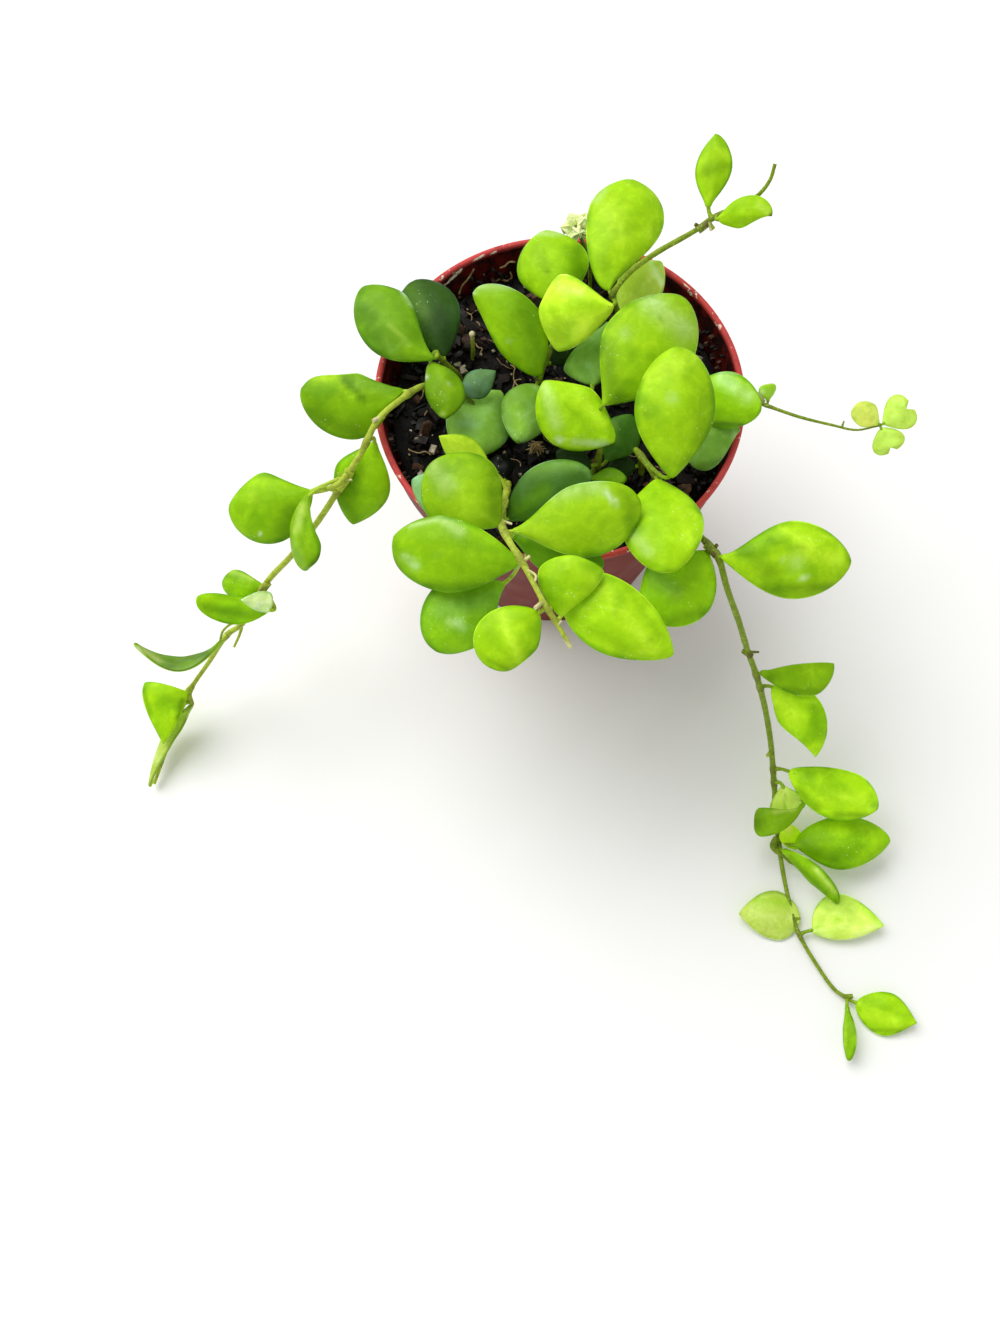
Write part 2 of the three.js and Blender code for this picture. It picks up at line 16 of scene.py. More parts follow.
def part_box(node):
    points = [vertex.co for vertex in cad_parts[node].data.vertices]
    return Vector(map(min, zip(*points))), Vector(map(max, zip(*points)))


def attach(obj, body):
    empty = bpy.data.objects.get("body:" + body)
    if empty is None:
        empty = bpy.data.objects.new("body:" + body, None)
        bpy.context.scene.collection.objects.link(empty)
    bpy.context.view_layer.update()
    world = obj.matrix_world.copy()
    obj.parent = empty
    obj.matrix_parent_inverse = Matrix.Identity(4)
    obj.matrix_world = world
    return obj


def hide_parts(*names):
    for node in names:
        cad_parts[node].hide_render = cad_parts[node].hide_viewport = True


bl_info = {
    "name": "Wax Vine in a Nursery Pot",
    "version": (1, 0, 0),
    "blender": (4, 5, 0),
    "location": "View3D > Sidebar > Wax Vine",
    "description": "Models a potted wax vine: its pot, potting mix, leafy shoots, bloom and clover",
    "category": "Add Mesh",
}

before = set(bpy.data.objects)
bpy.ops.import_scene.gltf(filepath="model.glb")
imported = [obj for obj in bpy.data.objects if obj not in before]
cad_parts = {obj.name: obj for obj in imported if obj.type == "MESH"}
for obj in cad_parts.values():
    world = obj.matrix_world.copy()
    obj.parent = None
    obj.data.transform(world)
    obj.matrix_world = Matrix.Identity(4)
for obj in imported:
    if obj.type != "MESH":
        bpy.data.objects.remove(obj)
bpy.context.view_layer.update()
POT_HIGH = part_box("pot")[1]
MIX_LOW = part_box("potting_mix")[0]

MM = 0.001
RIM_RADIUS = POT_HIGH.x
POT_HEIGHT = POT_HIGH.z

# The photograph's frame in pixels, where it shows the rim's centre, and the place that it is seen from
PHOTO_WIDE = 1000
PHOTO_TALL = 1333
RIM_ACROSS = 559.5
RIM_DOWN = 392
SIGHT = 1518
EYE_DISTANCE = 0.424
EYE_TILT = math.radians(30.4)
EYE_BEARING = math.radians(3)
SENSOR = 36

# The potting mix: its level, how high its heaps stand, how deep the stems go into it, how many kinds of chip
# there are, which share of them is crumb and how much further out that lies, and the roots in a dead tuft
SOIL_LEVEL = 79 * MM
SOIL_BUMP = 1.1 * MM
ROOT_DEPTH = 9 * MM
CHIP_KINDS = 8
CRUMB_SHARE = 0.45
CRUMB_SPREAD = 1.035
TUFT_ROOTS = 26

# The pot: its corners round, the rounding of its foot, its floor, how much its inner wall draws in on the way
# down, and how far down its bead is painted paler, for wear and a painted highlight
POT_CORNERS = 240
FOOT_ROUND = 1.5 * MM
POT_FLOOR = 1.6 * MM
WALL_TAPER = 0.12
BEAD_WORN_AND_LIT = 1.4 * MM

# A leaf's blank: a ball of this many rings along the leaf and corners around it
LEAF_RINGS = 40
LEAF_CORNERS = 40

# A leaf: its half breadth at the stalk, the rounding of its ends and edge, how far back from its tip its rim,
# with its painted shade and pale line, reaches, its rib, and how uneven it is
BASE_HALF = 0.8 * MM
END_ROUND = 0.9 * MM
EDGE_ROUND = 0.62
TIP_RIM = 6 * MM
RIB_HALF = 0.55 * MM
RIB_DEPTH = 0.16 * MM
WAVE = 0.35 * MM
RIPPLE = 0.1 * MM

# A stem: a leaf stalk's radius, how far before its leaf it bends and its points, how far the swelling of a
# node reaches, and the steps of a curve between two places
STALK_RADIUS = 0.65 * MM
STALK_BEND = 4 * MM
STALK_POINTS = 13
NODE_REACH = 1.5 * MM
CURVE_STEPS = 40

# The bloom: the radius of its umbel, the length of a floret, and the turn from one floret to the next
UMBEL_RADIUS = 3.4 * MM
FLORET_LENGTH = 3.2 * MM
GOLDEN_TURN = math.pi * (3 - math.sqrt(5))

# The stage: the side of its floor, and the place and side of its soft light
FLOOR_SIDE = 6
WINDOW_PLACE = (-1.0, 0.9, 2.0)
WINDOW_SIDE = 2.0

# What a leaf has unless it says otherwise: its breadth in mm, the share of its length where it is broadest,
# how full its outline is below and above that, and how cupped, folded, notched and ribbed it is
OUTLINE = (("wide", 10), ("peak", 0.52), ("neck", 1), ("tip", 0.6))
FACE = (("cup", 0.24), ("fold", 0), ("notch", 0), ("rib", 0.35))

SLOTS = {"shoot_inner": "old_leaf", "shoot_rim_left": "old_leaf", "clover": "clover_leaf"}


# What a user can change


def srgb(red, green, blue):
    """A colour given as 0 to 255 on a screen, in Blender's linear values."""
    shares = [value / 255 for value in (red, green, blue)]
    return tuple(s / 12.92 if s <= 0.04045 else ((s + 0.055) / 1.055) ** 2.4 for s in shares)


def colour(name, description, default):
    return FloatVectorProperty(
        name=name, description=description, subtype="COLOR", size=3, min=0, max=1, default=srgb(*default)
    )


def length(name, description, default):
    return FloatProperty(name=name, description=description, unit="LENGTH", min=0, default=default)


def count(name, description, default):
    return IntProperty(name=name, description=description, min=0, default=default)


class PotSettings(bpy.types.PropertyGroup):
    """Sizes and colours of the pot."""

    foot_radius: length("Foot radius", "Radius of the pot's foot", 32 * MM)
    wall: length("Wall", "Thickness of the pot's wall", 1.3 * MM)
    band_height: length("Band height", "Height of the band under the rim", 17 * MM)
    rim_bead: length("Rim bead", "Height of the bead round the rim", 1.5 * MM)
    drain_radius: length("Drain radius", "Radius of a drain hole", 4 * MM)
    drain_circle: length("Drain circle", "Radius of the circle that the drain holes lie on", 23 * MM)
    drain_holes: count("Drain holes", "How many drain holes", 6)
    plastic: colour("Plastic", "Red-brown of the moulded plastic", (116, 34, 26))
    # The bead's paler colour: scuffing, and a painted highlight where light catches the rim
    scuffed_and_lit: colour("Scuffed plastic", "Paler colour of the bead", (204, 72, 70))
    deep_plastic: colour("Deep plastic", "Darker clouds in the plastic", (88, 16, 12))
    # Painted shade: the inside of the wall, painted darker for the shadow that the pot casts into itself
    shaded_inner_plastic: colour("Inner plastic", "The dark inside of the wall", (102, 14, 10))
    crust: colour("Crust", "Dried crust on the inner wall and bead", (255, 244, 222))
    # Near-black patches on the inner wall: dirt, and painted shade that deepens the inside
    soil_and_shade: colour("Soil", "Soil that clings to the inner wall", (20, 10, 8))


class MixSettings(bpy.types.PropertyGroup):
    """Make-up of the potting mix."""

    chips: count("Chips", "How many bark chips lie on top", 1100)
    # Small white grains: white mineral grains, and also painted glints that stand for highlights on wet bark
    grit_and_glints: count("Grit", "How many white grains lie on top", 120)
    fibres: count("Fibres", "How many loose root fibres lie on top", 60)
    seed: count("Seed", "Seed of the chips' places", 11)
    peat: colour("Peat", "Dark wet peat between the chips", (12, 8, 6))
    bark: colour("Bark", "Bark chips", (30, 19, 16))
    dry_bark: colour("Dry bark", "The dry and lighter chips", (98, 70, 54))
    # The colour of the white mineral grains, and of the small white grains that are painted glints
    white_grain_and_glint: colour("White grit", "Grains of white grit", (222, 210, 186))
    fibre: colour("Fibre", "Dead root fibres", (196, 170, 120))


class LeafSettings(bpy.types.PropertyGroup):
    """Sizes and colours of the leaves and stems."""

    thickness: length("Thickness", "Thickness of a leaf at its rib", 1.45 * MM)
    # Besides giving a leaf its own tone, these colours are laid on leaves as the marks in SHOOTS, and most
    # marks are painted light and shade: shade, dark and deep paint shade where a leaf turns from the light or
    # lies under others; lemon, fresh, edge, pale and dusty paint light and sheen where light falls on it; and
    # a base tone such as leaf or mid, laid on a leaf of another tone, paints light where it is paler and
    # shade where it is darker. Dry and lime are mostly brown spots and white specks of the leaves' own.
    lemon: colour("Lemon", "The youngest and best lit leaves", (200, 246, 44))
    fresh: colour("Fresh", "Young leaves", (162, 218, 14))
    leaf: colour("Leaf", "Grown leaves", (134, 190, 8))
    mid: colour("Mid", "Older leaves", (114, 168, 18))
    dusty: colour("Dusty", "Dull leaves low in the plant", (112, 158, 52))
    olive: colour("Olive", "Thin leaf that light comes through", (150, 178, 52))
    blue: colour("Blue", "Bluish leaves low in the plant", (100, 142, 80))
    # Dark old leaves; laid as marks on other leaves, painted shade
    dark: colour("Dark", "Dark old leaves", (62, 104, 26))
    pale: colour("Pale", "Undersides and thin leaves", (204, 236, 92))
    dry: colour("Dry", "Dry brown edges and tips", (104, 84, 40))
    edge: colour("Edge", "Pale parts of a leaf where light falls on it", (206, 236, 150))
    # Painted shade: the colour of small leaves that lie in the shadow of others, and of shade laid on a leaf
    deep: colour("Deep", "Leaves deep in the plant", (40, 66, 22))
    # Painted shade: laid as marks on the parts of a leaf that turn away from the light
    shade: colour("Shade", "Deeper green of the dull parts of a leaf", (92, 142, 2))
    lime: colour("Lime", "White specks and residue", (232, 248, 190))
    green_stem: colour("Green stem", "Young stems", (182, 200, 66))
    olive_stem: colour("Olive stem", "Old stems", (132, 158, 34))
    # White specks and residue; on one leaf also a painted gloss highlight
    brown_node: colour("Brown node", "Bark at the nodes of a stem", (96, 84, 44))
    cut_end: colour("Cut end", "Pale end of a cut stem", (224, 214, 168))


class BloomSettings(bpy.types.PropertyGroup):
    """Make-up of the spent bloom and the clover."""

    florets: IntProperty(name="Florets", description="Florets in the bloom", min=1, default=9)
    petal: colour("Petal", "Dry cream petals", (240, 250, 184))
    petal_shade: colour("Petal shade", "Creases of the petals", (190, 204, 96))
    clover: colour("Clover", "Young clover leaves", (206, 248, 92))
    clover_edge: colour("Clover edge", "Edges of the clover leaves", (168, 208, 20))


class StageSettings(bpy.types.PropertyGroup):
    """Floor, light and camera."""

    floor: colour("Floor", "Pale floor", (250, 250, 248))
    sky: FloatProperty(name="Sky", description="Strength of the light from all round", min=0, default=0.58)
    window: FloatProperty(name="Window", description="Watts of the large soft light", min=0, default=52)


# The plant, as part of the frame: where each shoot is rooted, where its stem passes, and its leaves. A place
# is given as the photograph's pixels across and down, with a height in mm.


def shoot(root, thick, stem_tone, stem, *leaves, spurs=()):
    """A shoot: the root and thickness of its stem, the places that it passes, and what grows on it."""
    spec = {"root": root, "thick": thick, "stem_tone": stem_tone, "stem": stem}
    return {**spec, "leaves": leaves, "spurs": spurs}


def leaf(start, end, wide, tone, *marks, **shape):
    """A leaf from the end of its stalk to its tip. Two values for its outline are for its left and right."""
    return {"from": start, "to": end, "wide": wide, "tone": tone, "marks": marks, **shape}


def band(tone, across, down, to_across, to_down, size, strength):
    """A soft patch of another tone along a line, with its reach in pixels. On the leaves most such patches
    are painted light and painted shade, with a few brown spots and white specks of their own; on the pot's
    wall they are dried crust.
    """
    return tone, (across, down), (to_across, to_down), size, strength


def spot(tone, across, down, size, strength):
    return band(tone, across, down, across, down, size, strength)


def spur(*places, thick, tone="green_stem"):
    """A small side growth of a stem: the stump of a flower stalk, a root tip or a strand that twines."""
    return {"places": places, "thick": thick, "tone": tone}


SHOOTS = {
    "vine_left": shoot(
        (452, 398), 1.8, "green_stem",
        [
            (446, 391, 87), (424, 386, 96), (400, 400, 101.5), (378, 420, 102), (360, 455, 96),
            (345, 478, 90), (334, 497, 85), (316, 524, 76), (291, 556, 64), (267, 582, 54), (242, 624, 40),
            (228, 634, 35), (209, 662, 25), (188, 694, 14), (171, 738, 5), (154, 784, 2),
        ],
        leaf(
            (404, 390, 100), (302, 387, 103), (17.3, 17.8), "leaf",
            band("fresh", 306, 381, 330, 383, 8, 0.6), band("lemon", 312, 376, 334, 378, 5, 0.6),
            band("fresh", 335, 380, 354, 399, 3, 0.95), band("shade", 345, 381, 364, 399, 3.5, 0.9),
            band("dusty", 350, 380, 388, 388, 8, 0.4), band("shade", 308, 412, 355, 432, 10, 0.7),
            spot("dry", 302, 378, 1.5, 0.8),
            sway=0.18, bend=0.1, peak=(0.5, 0.44), neck=(1.7, 0.85), tip=(0.52, 0.3), lit=0.85,
        ),
        leaf(
            (375, 441, 94), (353, 524, 78), (14.9, 17), "leaf",
            band("fresh", 373, 455, 372, 482, 8, 0.5), band("shade", 345, 500, 354, 518, 12, 0.8),
            band("shade", 358, 460, 344, 488, 7, 0.6), spot("fresh", 343, 460, 6, 0.5),
            bend=0.08, peak=(0.55, 0.42), neck=(1, 1.1), tip=(0.75, 0.6), lit=1.1,
        ),
        leaf(
            (312, 491, 88), (229, 507, 84), 19.4, "leaf",
            band("fresh", 245, 480, 285, 483, 7, 0.7), spot("lemon", 251, 496, 5, 0.4),
            band("shade", 290, 512, 284, 540, 11, 0.7), spot("dry", 258, 501, 3, 0.3),
            spot("lime", 260, 535, 1.5, 0.8),
            sway=0.1, bend=0.1, peak=0.55, neck=(0.75, 0.85), tip=0.45, at=(346, 474, 90), lit=0.95,
        ),
        leaf(
            (309, 495, 96), (310, 568, 87), 14, "leaf",
            band("pale", 303, 506, 296, 530, 4, 0.6), band("shade", 306, 520, 302, 546, 2.5, 0.4),
            band("shade", 313, 562, 318, 556, 4, 0.6),
            roll=58, sway=-0.13, bend=0.1, peak=0.74, neck=0.85, tip=0.3, at=(341, 491, 87), lit=0.8,
        ),
        leaf(
            (263, 586, 50), (224, 578, 49), (8.6, 8.3), "leaf",
            band("pale", 230, 571, 252, 577, 3.5, 0.6), spot("shade", 255, 591, 7, 0.5),
            sway=0.09, bend=0.1, peak=(0.55, 0.68), neck=(0.5, 0.63), tip=(0.3, 0.2),
        ),
        leaf(
            (270, 609, 52), (196, 599, 55), (11.8, 5), "leaf",
            band("shade", 205, 608, 252, 616, 5, 0.7), band("fresh", 205, 597, 228, 603, 5, 0.6),
            cup=-0.1, bend=-0.06, peak=(0.5, 0.7), neck=(0.7, 0.5), tip=(0.42, 0.4), lit=1.1,
        ),
        leaf(
            (222, 640, 36), (134, 643, 38), 11, "leaf",
            band("pale", 139, 648, 158, 660, 3.5, 0.8), band("shade", 170, 664, 207, 653, 4.5, 0.9),
            roll=68, bend=-0.31, cup=-0.15, tip=0.9, lit=0.6,
        ),
        leaf(
            (186, 691, 18), (163, 744, 11), (3, 25), "fresh",
            band("shade", 183, 700, 177, 718, 2.5, 0.9), spot("shade", 160, 736, 6, 0.4),
            band("shade", 143, 690, 151, 714, 2.5, 0.4),
            bend=0.06, peak=(0.5, 0.15), neck=(0.8, 0.45), tip=(0.8, 0.98),
        ),
        leaf(
            (193, 704, 10), (150, 787, 5), 8.4, "pale", roll=66, sway=-0.08, bend=0.06, peak=0.35, tip=1.2,
            lit=0.7,
        ),
        leaf(
            (271, 610, 53), (241, 600, 57), (3, 9.6), "edge", peak=(0.4, 0.25), neck=0.4, tip=0.9, cup=-0.1,
            lit=1.2,
        ),
        spurs=[
            spur((383, 416, 102), (373, 421, 103), thick=1.4, tone="cut_end"),
            spur((350, 470, 92), (346, 479, 90), (339, 490, 88), thick=2.7),
            spur((346, 476, 92), (338, 484, 93), (327, 489, 92), (315, 492, 89), thick=1.6),
            spur((344, 480, 91), (338, 473, 93), thick=0.7),
            spur((345, 479, 91), (352, 480, 92), thick=0.7, tone="cut_end"),
            spur(
                (241, 622, 42), (231, 624, 42), (223, 631, 41), (220, 641, 38), thick=0.8, tone="olive_stem",
            ),
            spur((242, 627, 41), (239, 636, 40), (234, 647, 38), thick=0.9),
            spur((192, 686, 16), (189, 694, 15), (192, 704, 11), thick=1.9, tone="olive_stem"),
            spur((268, 583, 55), (262, 592, 53), thick=2.2, tone="brown_node"),
        ],
    ),
    "shoot_rim_left": shoot(
        (462, 384), 1.7, "olive_stem",
        [(455, 372, 88), (442, 360, 95), (436, 352, 99)],
        leaf(
            (434, 359, 101), (363, 287, 105), (16.6, 17.2), "mid",
            band("dusty", 364, 310, 386, 346, 11, 0.5), band("pale", 388, 325, 409, 345, 1.8, 0.35),
            band("shade", 398, 306, 414, 334, 7, 0.5), band("leaf", 410, 350, 428, 353, 7, 0.6),
            band("shade", 372, 352, 404, 360, 4, 0.5), band("edge", 401, 291, 412, 306, 1.6, 0.6),
            bend=0.1, sway=0.072, peak=(0.53, 0.64), neck=(0.9, 1.15), tip=(0.47, 0.48), rib=0.5, lit=0.9,
        ),
        leaf(
            (445, 357, 95), (414, 281, 97), (17, 18.2), "dark",
            band("mid", 410, 290, 424, 316, 8, 0.4), band("deep", 440, 318, 450, 346, 12, 0.6),
            bend=0.1, peak=(0.6, 0.55), neck=(0.9, 0.72), tip=(0.35, 0.42), lit=0.66,
        ),
        leaf(
            (430, 363, 99), (446, 419, 98), (10.9, 10.5), "leaf",
            band("fresh", 440, 371, 449, 390, 5, 0.4), spot("lime", 426, 377, 2.4, 0.9),
            spot("edge", 449, 384, 1.8, 0.6), spot("pale", 442, 414, 3, 0.5),
            band("shade", 428, 395, 436, 412, 4, 0.5),
            bend=0.12, sway=0.1, peak=(0.65, 0.55), neck=(0.8, 0.52), tip=(0.85, 0.45), lit=0.6,
        ),
    ),
    "shoot_rear": shoot(
        (543, 404), 1.7, "olive_stem",
        [(541, 388, 87), (539, 379, 91), (549, 352, 93), (562, 322, 95), (567, 306, 96)],
        leaf(
            (541, 376, 94), (473, 293, 104), (16.2, 14.2), "leaf",
            band("fresh", 482, 300, 502, 345, 9, 0.5), band("shade", 526, 298, 540, 370, 14, 0.8),
            band("edge", 478, 286, 514, 286, 4, 0.4), spot("lime", 509, 340, 1.6, 0.8),
            spot("edge", 474, 293, 2.5, 0.5),
            sway=-0.13, bend=0.08, peak=(0.4, 0.52), neck=(0.45, 0.95), tip=(0.62, 0.42), lit=0.88,
        ),
        leaf(
            (536, 385, 91), (517, 443, 95), (13, 14.8), "dusty",
            band("leaf", 516, 410, 520, 428, 7, 0.5), band("shade", 527, 388, 537, 396, 6, 0.5),
            spot("edge", 518, 414, 3, 0.3),
            bend=0.08, peak=(0.5, 0.42), neck=(0.7, 0.32), tip=0.65,
        ),
        leaf(
            (561, 306, 99), (544, 231, 104), (19.5, 20.5), "fresh",
            band("edge", 536, 233, 562, 233, 3, 0.5), band("shade", 577, 252, 583, 282, 9, 0.6),
            band("shade", 541, 265, 548, 272, 2, 0.4), band("shade", 548, 272, 554, 262, 2, 0.4),
            band("leaf", 530, 245, 545, 262, 8, 0.5),
            bend=0.12, neck=0.75, tip=(0.42, 0.5), lit=0.85,
        ),
        leaf((549, 364, 89), (583, 338, 90), 9, "deep", bend=0.06),
    ),
    "shoot_inner": shoot(
        (486, 442), 1.7, "olive_stem",
        [(482, 426, 86), (474, 406, 89), (464, 393, 91)],
        leaf(
            (463, 393, 93), (496, 371, 95), (7.5, 8.5), "blue",
            spot("dark", 480, 392, 7, 0.6),
            bend=0.06, peak=0.4, neck=0.6, tip=0.9, lit=0.95,
        ),
        leaf(
            (501, 392, 86), (460, 452, 88), (17.5, 19), "dusty",
            band("dark", 500, 400, 505, 430, 8, 0.5), spot("blue", 468, 425, 9, 0.5),
            bend=0.08, neck=0.7, tip=0.5, lit=1.65,
        ),
    ),
    "shoot_centre": shoot(
        (597, 480), 1.8, "olive_stem",
        [(597, 465, 88), (600, 449, 95), (601, 425, 99), (602, 408, 101)],
        leaf(
            (615, 441, 99), (544, 381, 106), (17.2, 18), "fresh",
            band("edge", 545, 388, 556, 424, 6, 0.35), band("leaf", 566, 405, 590, 432, 5, 0.7),
            band("lemon", 580, 400, 604, 424, 4, 0.4), band("edge", 574, 442, 606, 444, 3, 0.5),
            spot("lime", 559, 440, 3, 0.8),
            sway=0.105, bend=0.12, peak=0.54, neck=(0.9, 0.5), tip=0.65, lit=0.95,
        ),
        leaf(
            (603, 405, 107), (684, 298, 112), (24, 24.4), "fresh",
            band("edge", 650, 302, 685, 330, 11, 0.35), band("shade", 606, 350, 614, 400, 10, 0.6),
            band("shade", 620, 396, 640, 400, 6, 0.5), spot("edge", 626, 333, 5, 0.35),
            spot("shade", 660, 318, 2, 0.4),
            bend=0.1, peak=(0.5, 0.55), neck=(1.05, 0.85), tip=(0.46, 0.38), lit=0.78,
        ),
        leaf((593, 466, 90), (556, 452, 92), 7, "deep", bend=0.05),
        leaf(
            (606, 462, 87), (632, 415, 92), 11.5, "dark",
            band("dusty", 613, 426, 616, 440, 5, 0.6),
            bend=0.08, lit=1.5,
        ),
        leaf((591, 478, 87), (627, 479, 89), 6, "mid", spot("shade", 598, 476, 8, 0.6), bend=0.08),
        leaf(
            (592, 386, 92), (607, 322, 98), (17.4, 12), "dusty",
            band("dark", 566, 370, 572, 382, 5, 0.5),
            bend=0.08, peak=(0.16, 0.5), neck=(0.4, 0.8), tip=(1.1, 0.6), lit=1.35,
        ),
    ),
    "shoot_upper_right": shoot(
        (632, 352), 1.5, "olive_stem",
        [
            (625, 330, 90), (615, 303, 106), (613, 294, 112), (630, 272, 118), (656, 253, 123),
            (696, 230, 130), (708, 221, 132), (732, 208, 135), (757, 196, 139), (770, 180, 143),
            (775, 164, 146),
        ],
        leaf(
            (608, 291, 112), (632, 180, 117), (19.4, 21.6), "fresh",
            band("lemon", 606, 205, 622, 235, 11, 0.4), band("leaf", 604, 262, 615, 286, 9, 0.6),
            spot("leaf", 652, 203, 5, 0.5), spot("leaf", 640, 215, 4, 0.4),
            band("lemon", 648, 232, 656, 246, 5, 0.4), band("edge", 596, 200, 604, 190, 3, 0.3),
            band("shade", 656, 222, 650, 250, 3, 0.3),
            bend=0.1, peak=0.67, neck=(0.5, 1.2), tip=(0.45, 0.32), lit=0.82,
        ),
        leaf(
            (614, 306, 111), (539, 313, 105), (21.4, 19), "lemon",
            band("fresh", 553, 312, 600, 306, 6, 0.8), band("edge", 562, 288, 580, 292, 5, 0.2),
            spot("leaf", 550, 344, 2, 0.4),
            bend=0.14, fold=0.1, peak=(0.85, 0.7), neck=(0.65, 1), tip=(0.24, 0.6), lit=1.02,
        ),
        leaf(
            (708, 208, 134), (716, 134, 141), (8.5, 10), "fresh",
            band("shade", 706, 172, 726, 166, 8, 0.45), band("lemon", 714, 142, 722, 154, 5, 0.4),
            band("lemon", 700, 156, 697, 170, 3, 0.4), spot("lemon", 711, 196, 4, 0.4),
            bend=0.06, peak=(0.5, 0.57), neck=(0.95, 1.04), tip=(0.82, 0.53), lit=0.85,
        ),
        leaf(
            (718, 220, 134), (772, 216, 138), (8, 7.7), "fresh",
            spot("leaf", 748, 209, 7, 0.6), band("pale", 760, 205, 768, 212, 4, 0.4),
            spot("dry", 771, 216, 2, 0.95),
            sway=0.11, bend=0.08, peak=(0.65, 0.38), neck=(0.9, 0.6), tip=(0.48, 1.25), lit=0.9,
        ),
        leaf(
            (620, 318, 97), (661, 262, 99), (14, 11.5), "olive",
            band("edge", 650, 262, 663, 285, 3, 0.3),
            bend=0.08, neck=0.8, lit=1.7,
        ),
        spurs=[
            spur((700, 228, 131), (695, 224, 132), thick=1.2, tone="brown_node"),
            spur((698, 230, 131), (709, 223, 132.5), thick=2.1, tone="brown_node"),
            spur((708, 222, 132), (714, 229, 131), thick=1.2, tone="green_stem"),
            spur((709, 222, 133), (711, 231, 132), thick=0.8, tone="cut_end"),
        ],
    ),
    "vine_right": shoot(
        (641, 474), 1.7, "olive_stem",
        [
            (641, 460, 87), (636, 450, 96), (650, 468, 100), (672, 500, 94), (694, 530, 93.5),
            (707, 543, 96), (717, 554, 97), (727, 588, 91), (739, 622, 79), (748, 652, 67), (756, 674, 58),
            (765, 708, 43), (771, 745, 29), (774, 782, 18), (777, 820, 9), (781, 860, 4.6), (790, 905, 3.6),
            (798, 932, 2.8), (820, 970, 1.8), (835, 990, 1.6), (847, 998, 1.8),
        ],
        leaf(
            (672, 478, 107), (677, 347, 119), 20.5, "fresh",
            band("lemon", 650, 372, 690, 362, 10, 0.45), band("shade", 708, 395, 700, 440, 14, 0.5),
            band("shade", 665, 465, 686, 460, 9, 0.4), spot("edge", 672, 398, 5, 0.3),
            spot("shade", 645, 415, 6, 0.4),
            bend=0.12, neck=0.8, tip=(0.5, 0.36), at=(640, 455, 99), lit=0.8,
        ),
        leaf(
            (657, 480, 101), (667, 573, 105), (21.3, 20.5), "fresh",
            band("leaf", 642, 488, 662, 500, 8, 0.6), band("edge", 632, 532, 648, 552, 6, 0.35),
            band("leaf", 640, 560, 668, 570, 4, 0.7), band("lemon", 680, 510, 690, 540, 10, 0.3),
            spot("leaf", 695, 535, 4, 0.5),
            bend=0.12, neck=0.7, tip=0.5, lit=0.9,
        ),
        leaf(
            (707, 551, 95), (641, 610, 92), (20.4, 19.5), "leaf",
            band("dusty", 652, 572, 676, 592, 8, 0.5), band("shade", 668, 622, 700, 612, 6, 0.6),
            spot("fresh", 700, 570, 8, 0.3),
            bend=0.1, sway=0.08, neck=0.75, tip=0.5, lit=1.1,
        ),
        leaf(
            (721, 557, 98), (851, 562, 98), (20, 20.2), "fresh",
            band("lemon", 782, 531, 808, 540, 4, 0.5), band("lemon", 802, 549, 840, 560, 8, 0.5),
            band("shade", 768, 541, 802, 548, 3.5, 0.4), band("shade", 742, 550, 770, 570, 10, 0.5),
            band("shade", 765, 589, 830, 587, 5, 0.6), band("shade", 846, 546, 849, 560, 3, 0.5),
            band("lime", 779, 556, 785, 559, 1, 0.6), band("lime", 797, 575, 806, 578, 1.2, 0.7),
            spot("edge", 796, 562, 8, 0.25),
            bend=0.08, peak=0.56, neck=(1.3, 0.9), tip=0.51, lit=0.88,
        ),
        leaf(
            (760, 673, 58), (834, 664, 56), (2.5, 16.4), "leaf",
            spot("shade", 770, 678, 9, 0.8), band("fresh", 805, 671, 826, 669, 6, 0.5),
            band("shade", 785, 689, 818, 692, 3.5, 0.6),
            bend=0.04, cup=0.1, peak=(0.5, 0.65), neck=0.8, tip=(0.8, 0.5), lit=0.9,
        ),
        leaf(
            (772, 686, 52), (815, 757, 42), (12.4, 13.4), "fresh",
            band("lemon", 781, 702, 796, 720, 8, 0.5), band("leaf", 814, 706, 818, 736, 6, 0.6),
            spot("pale", 814, 756, 2, 0.7),
            sway=0.128, bend=0.08, peak=(0.45, 0.4), neck=(0.7, 0.64), tip=(0.73, 0.95), lit=1.1,
        ),
        leaf(
            (789, 771, 24), (878, 808, 22), (15.4, 15.2), "fresh",
            band("lemon", 828, 795, 864, 800, 9, 0.45), spot("leaf", 808, 774, 6, 0.6),
            band("shade", 799, 791, 816, 807, 5, 0.6), band("shade", 836, 815, 866, 815, 3.5, 0.6),
            spot("dusty", 874, 806, 4, 0.4),
            sway=-0.03, bend=0.1, peak=(0.68, 0.52), neck=(0.62, 0.68), tip=(0.45, 0.62), lit=1.25,
        ),
        leaf(
            (796, 846, 10), (890, 840, 11), (16.1, 15.8), "leaf",
            band("fresh", 836, 832, 876, 838, 10, 0.7), band("shade", 804, 846, 832, 860, 9, 0.8),
            spot("shade", 866, 833, 3, 0.4),
            bend=0.1, peak=(0.5, 0.47), neck=(0.42, 0.85), tip=(0.55, 0.6), at=(778, 835, 7), lit=1.1,
        ),
        leaf(
            (804, 804, 19), (754, 822, 17), (8.8, 8.4), "leaf",
            spot("shade", 757, 822, 8, 0.7), band("pale", 775, 812, 794, 809, 2.5, 0.6),
            sway=0.1, peak=0.88, neck=(1, 1.6), tip=0.35, cup=-0.1, bend=0.1, at=(779, 800, 14), lit=0.75,
        ),
        leaf(
            (784, 822, 12), (796, 849, 7), 6.5, "fresh",
            spot("pale", 788, 828, 5, 0.6),
            bend=0.05, lit=1.6,
        ),
        leaf(
            (782, 850, 8), (838, 903, 5), 7.6, "leaf",
            band("shade", 790, 858, 826, 893, 3, 0.7), band("pale", 815, 868, 835, 892, 2.6, 0.6),
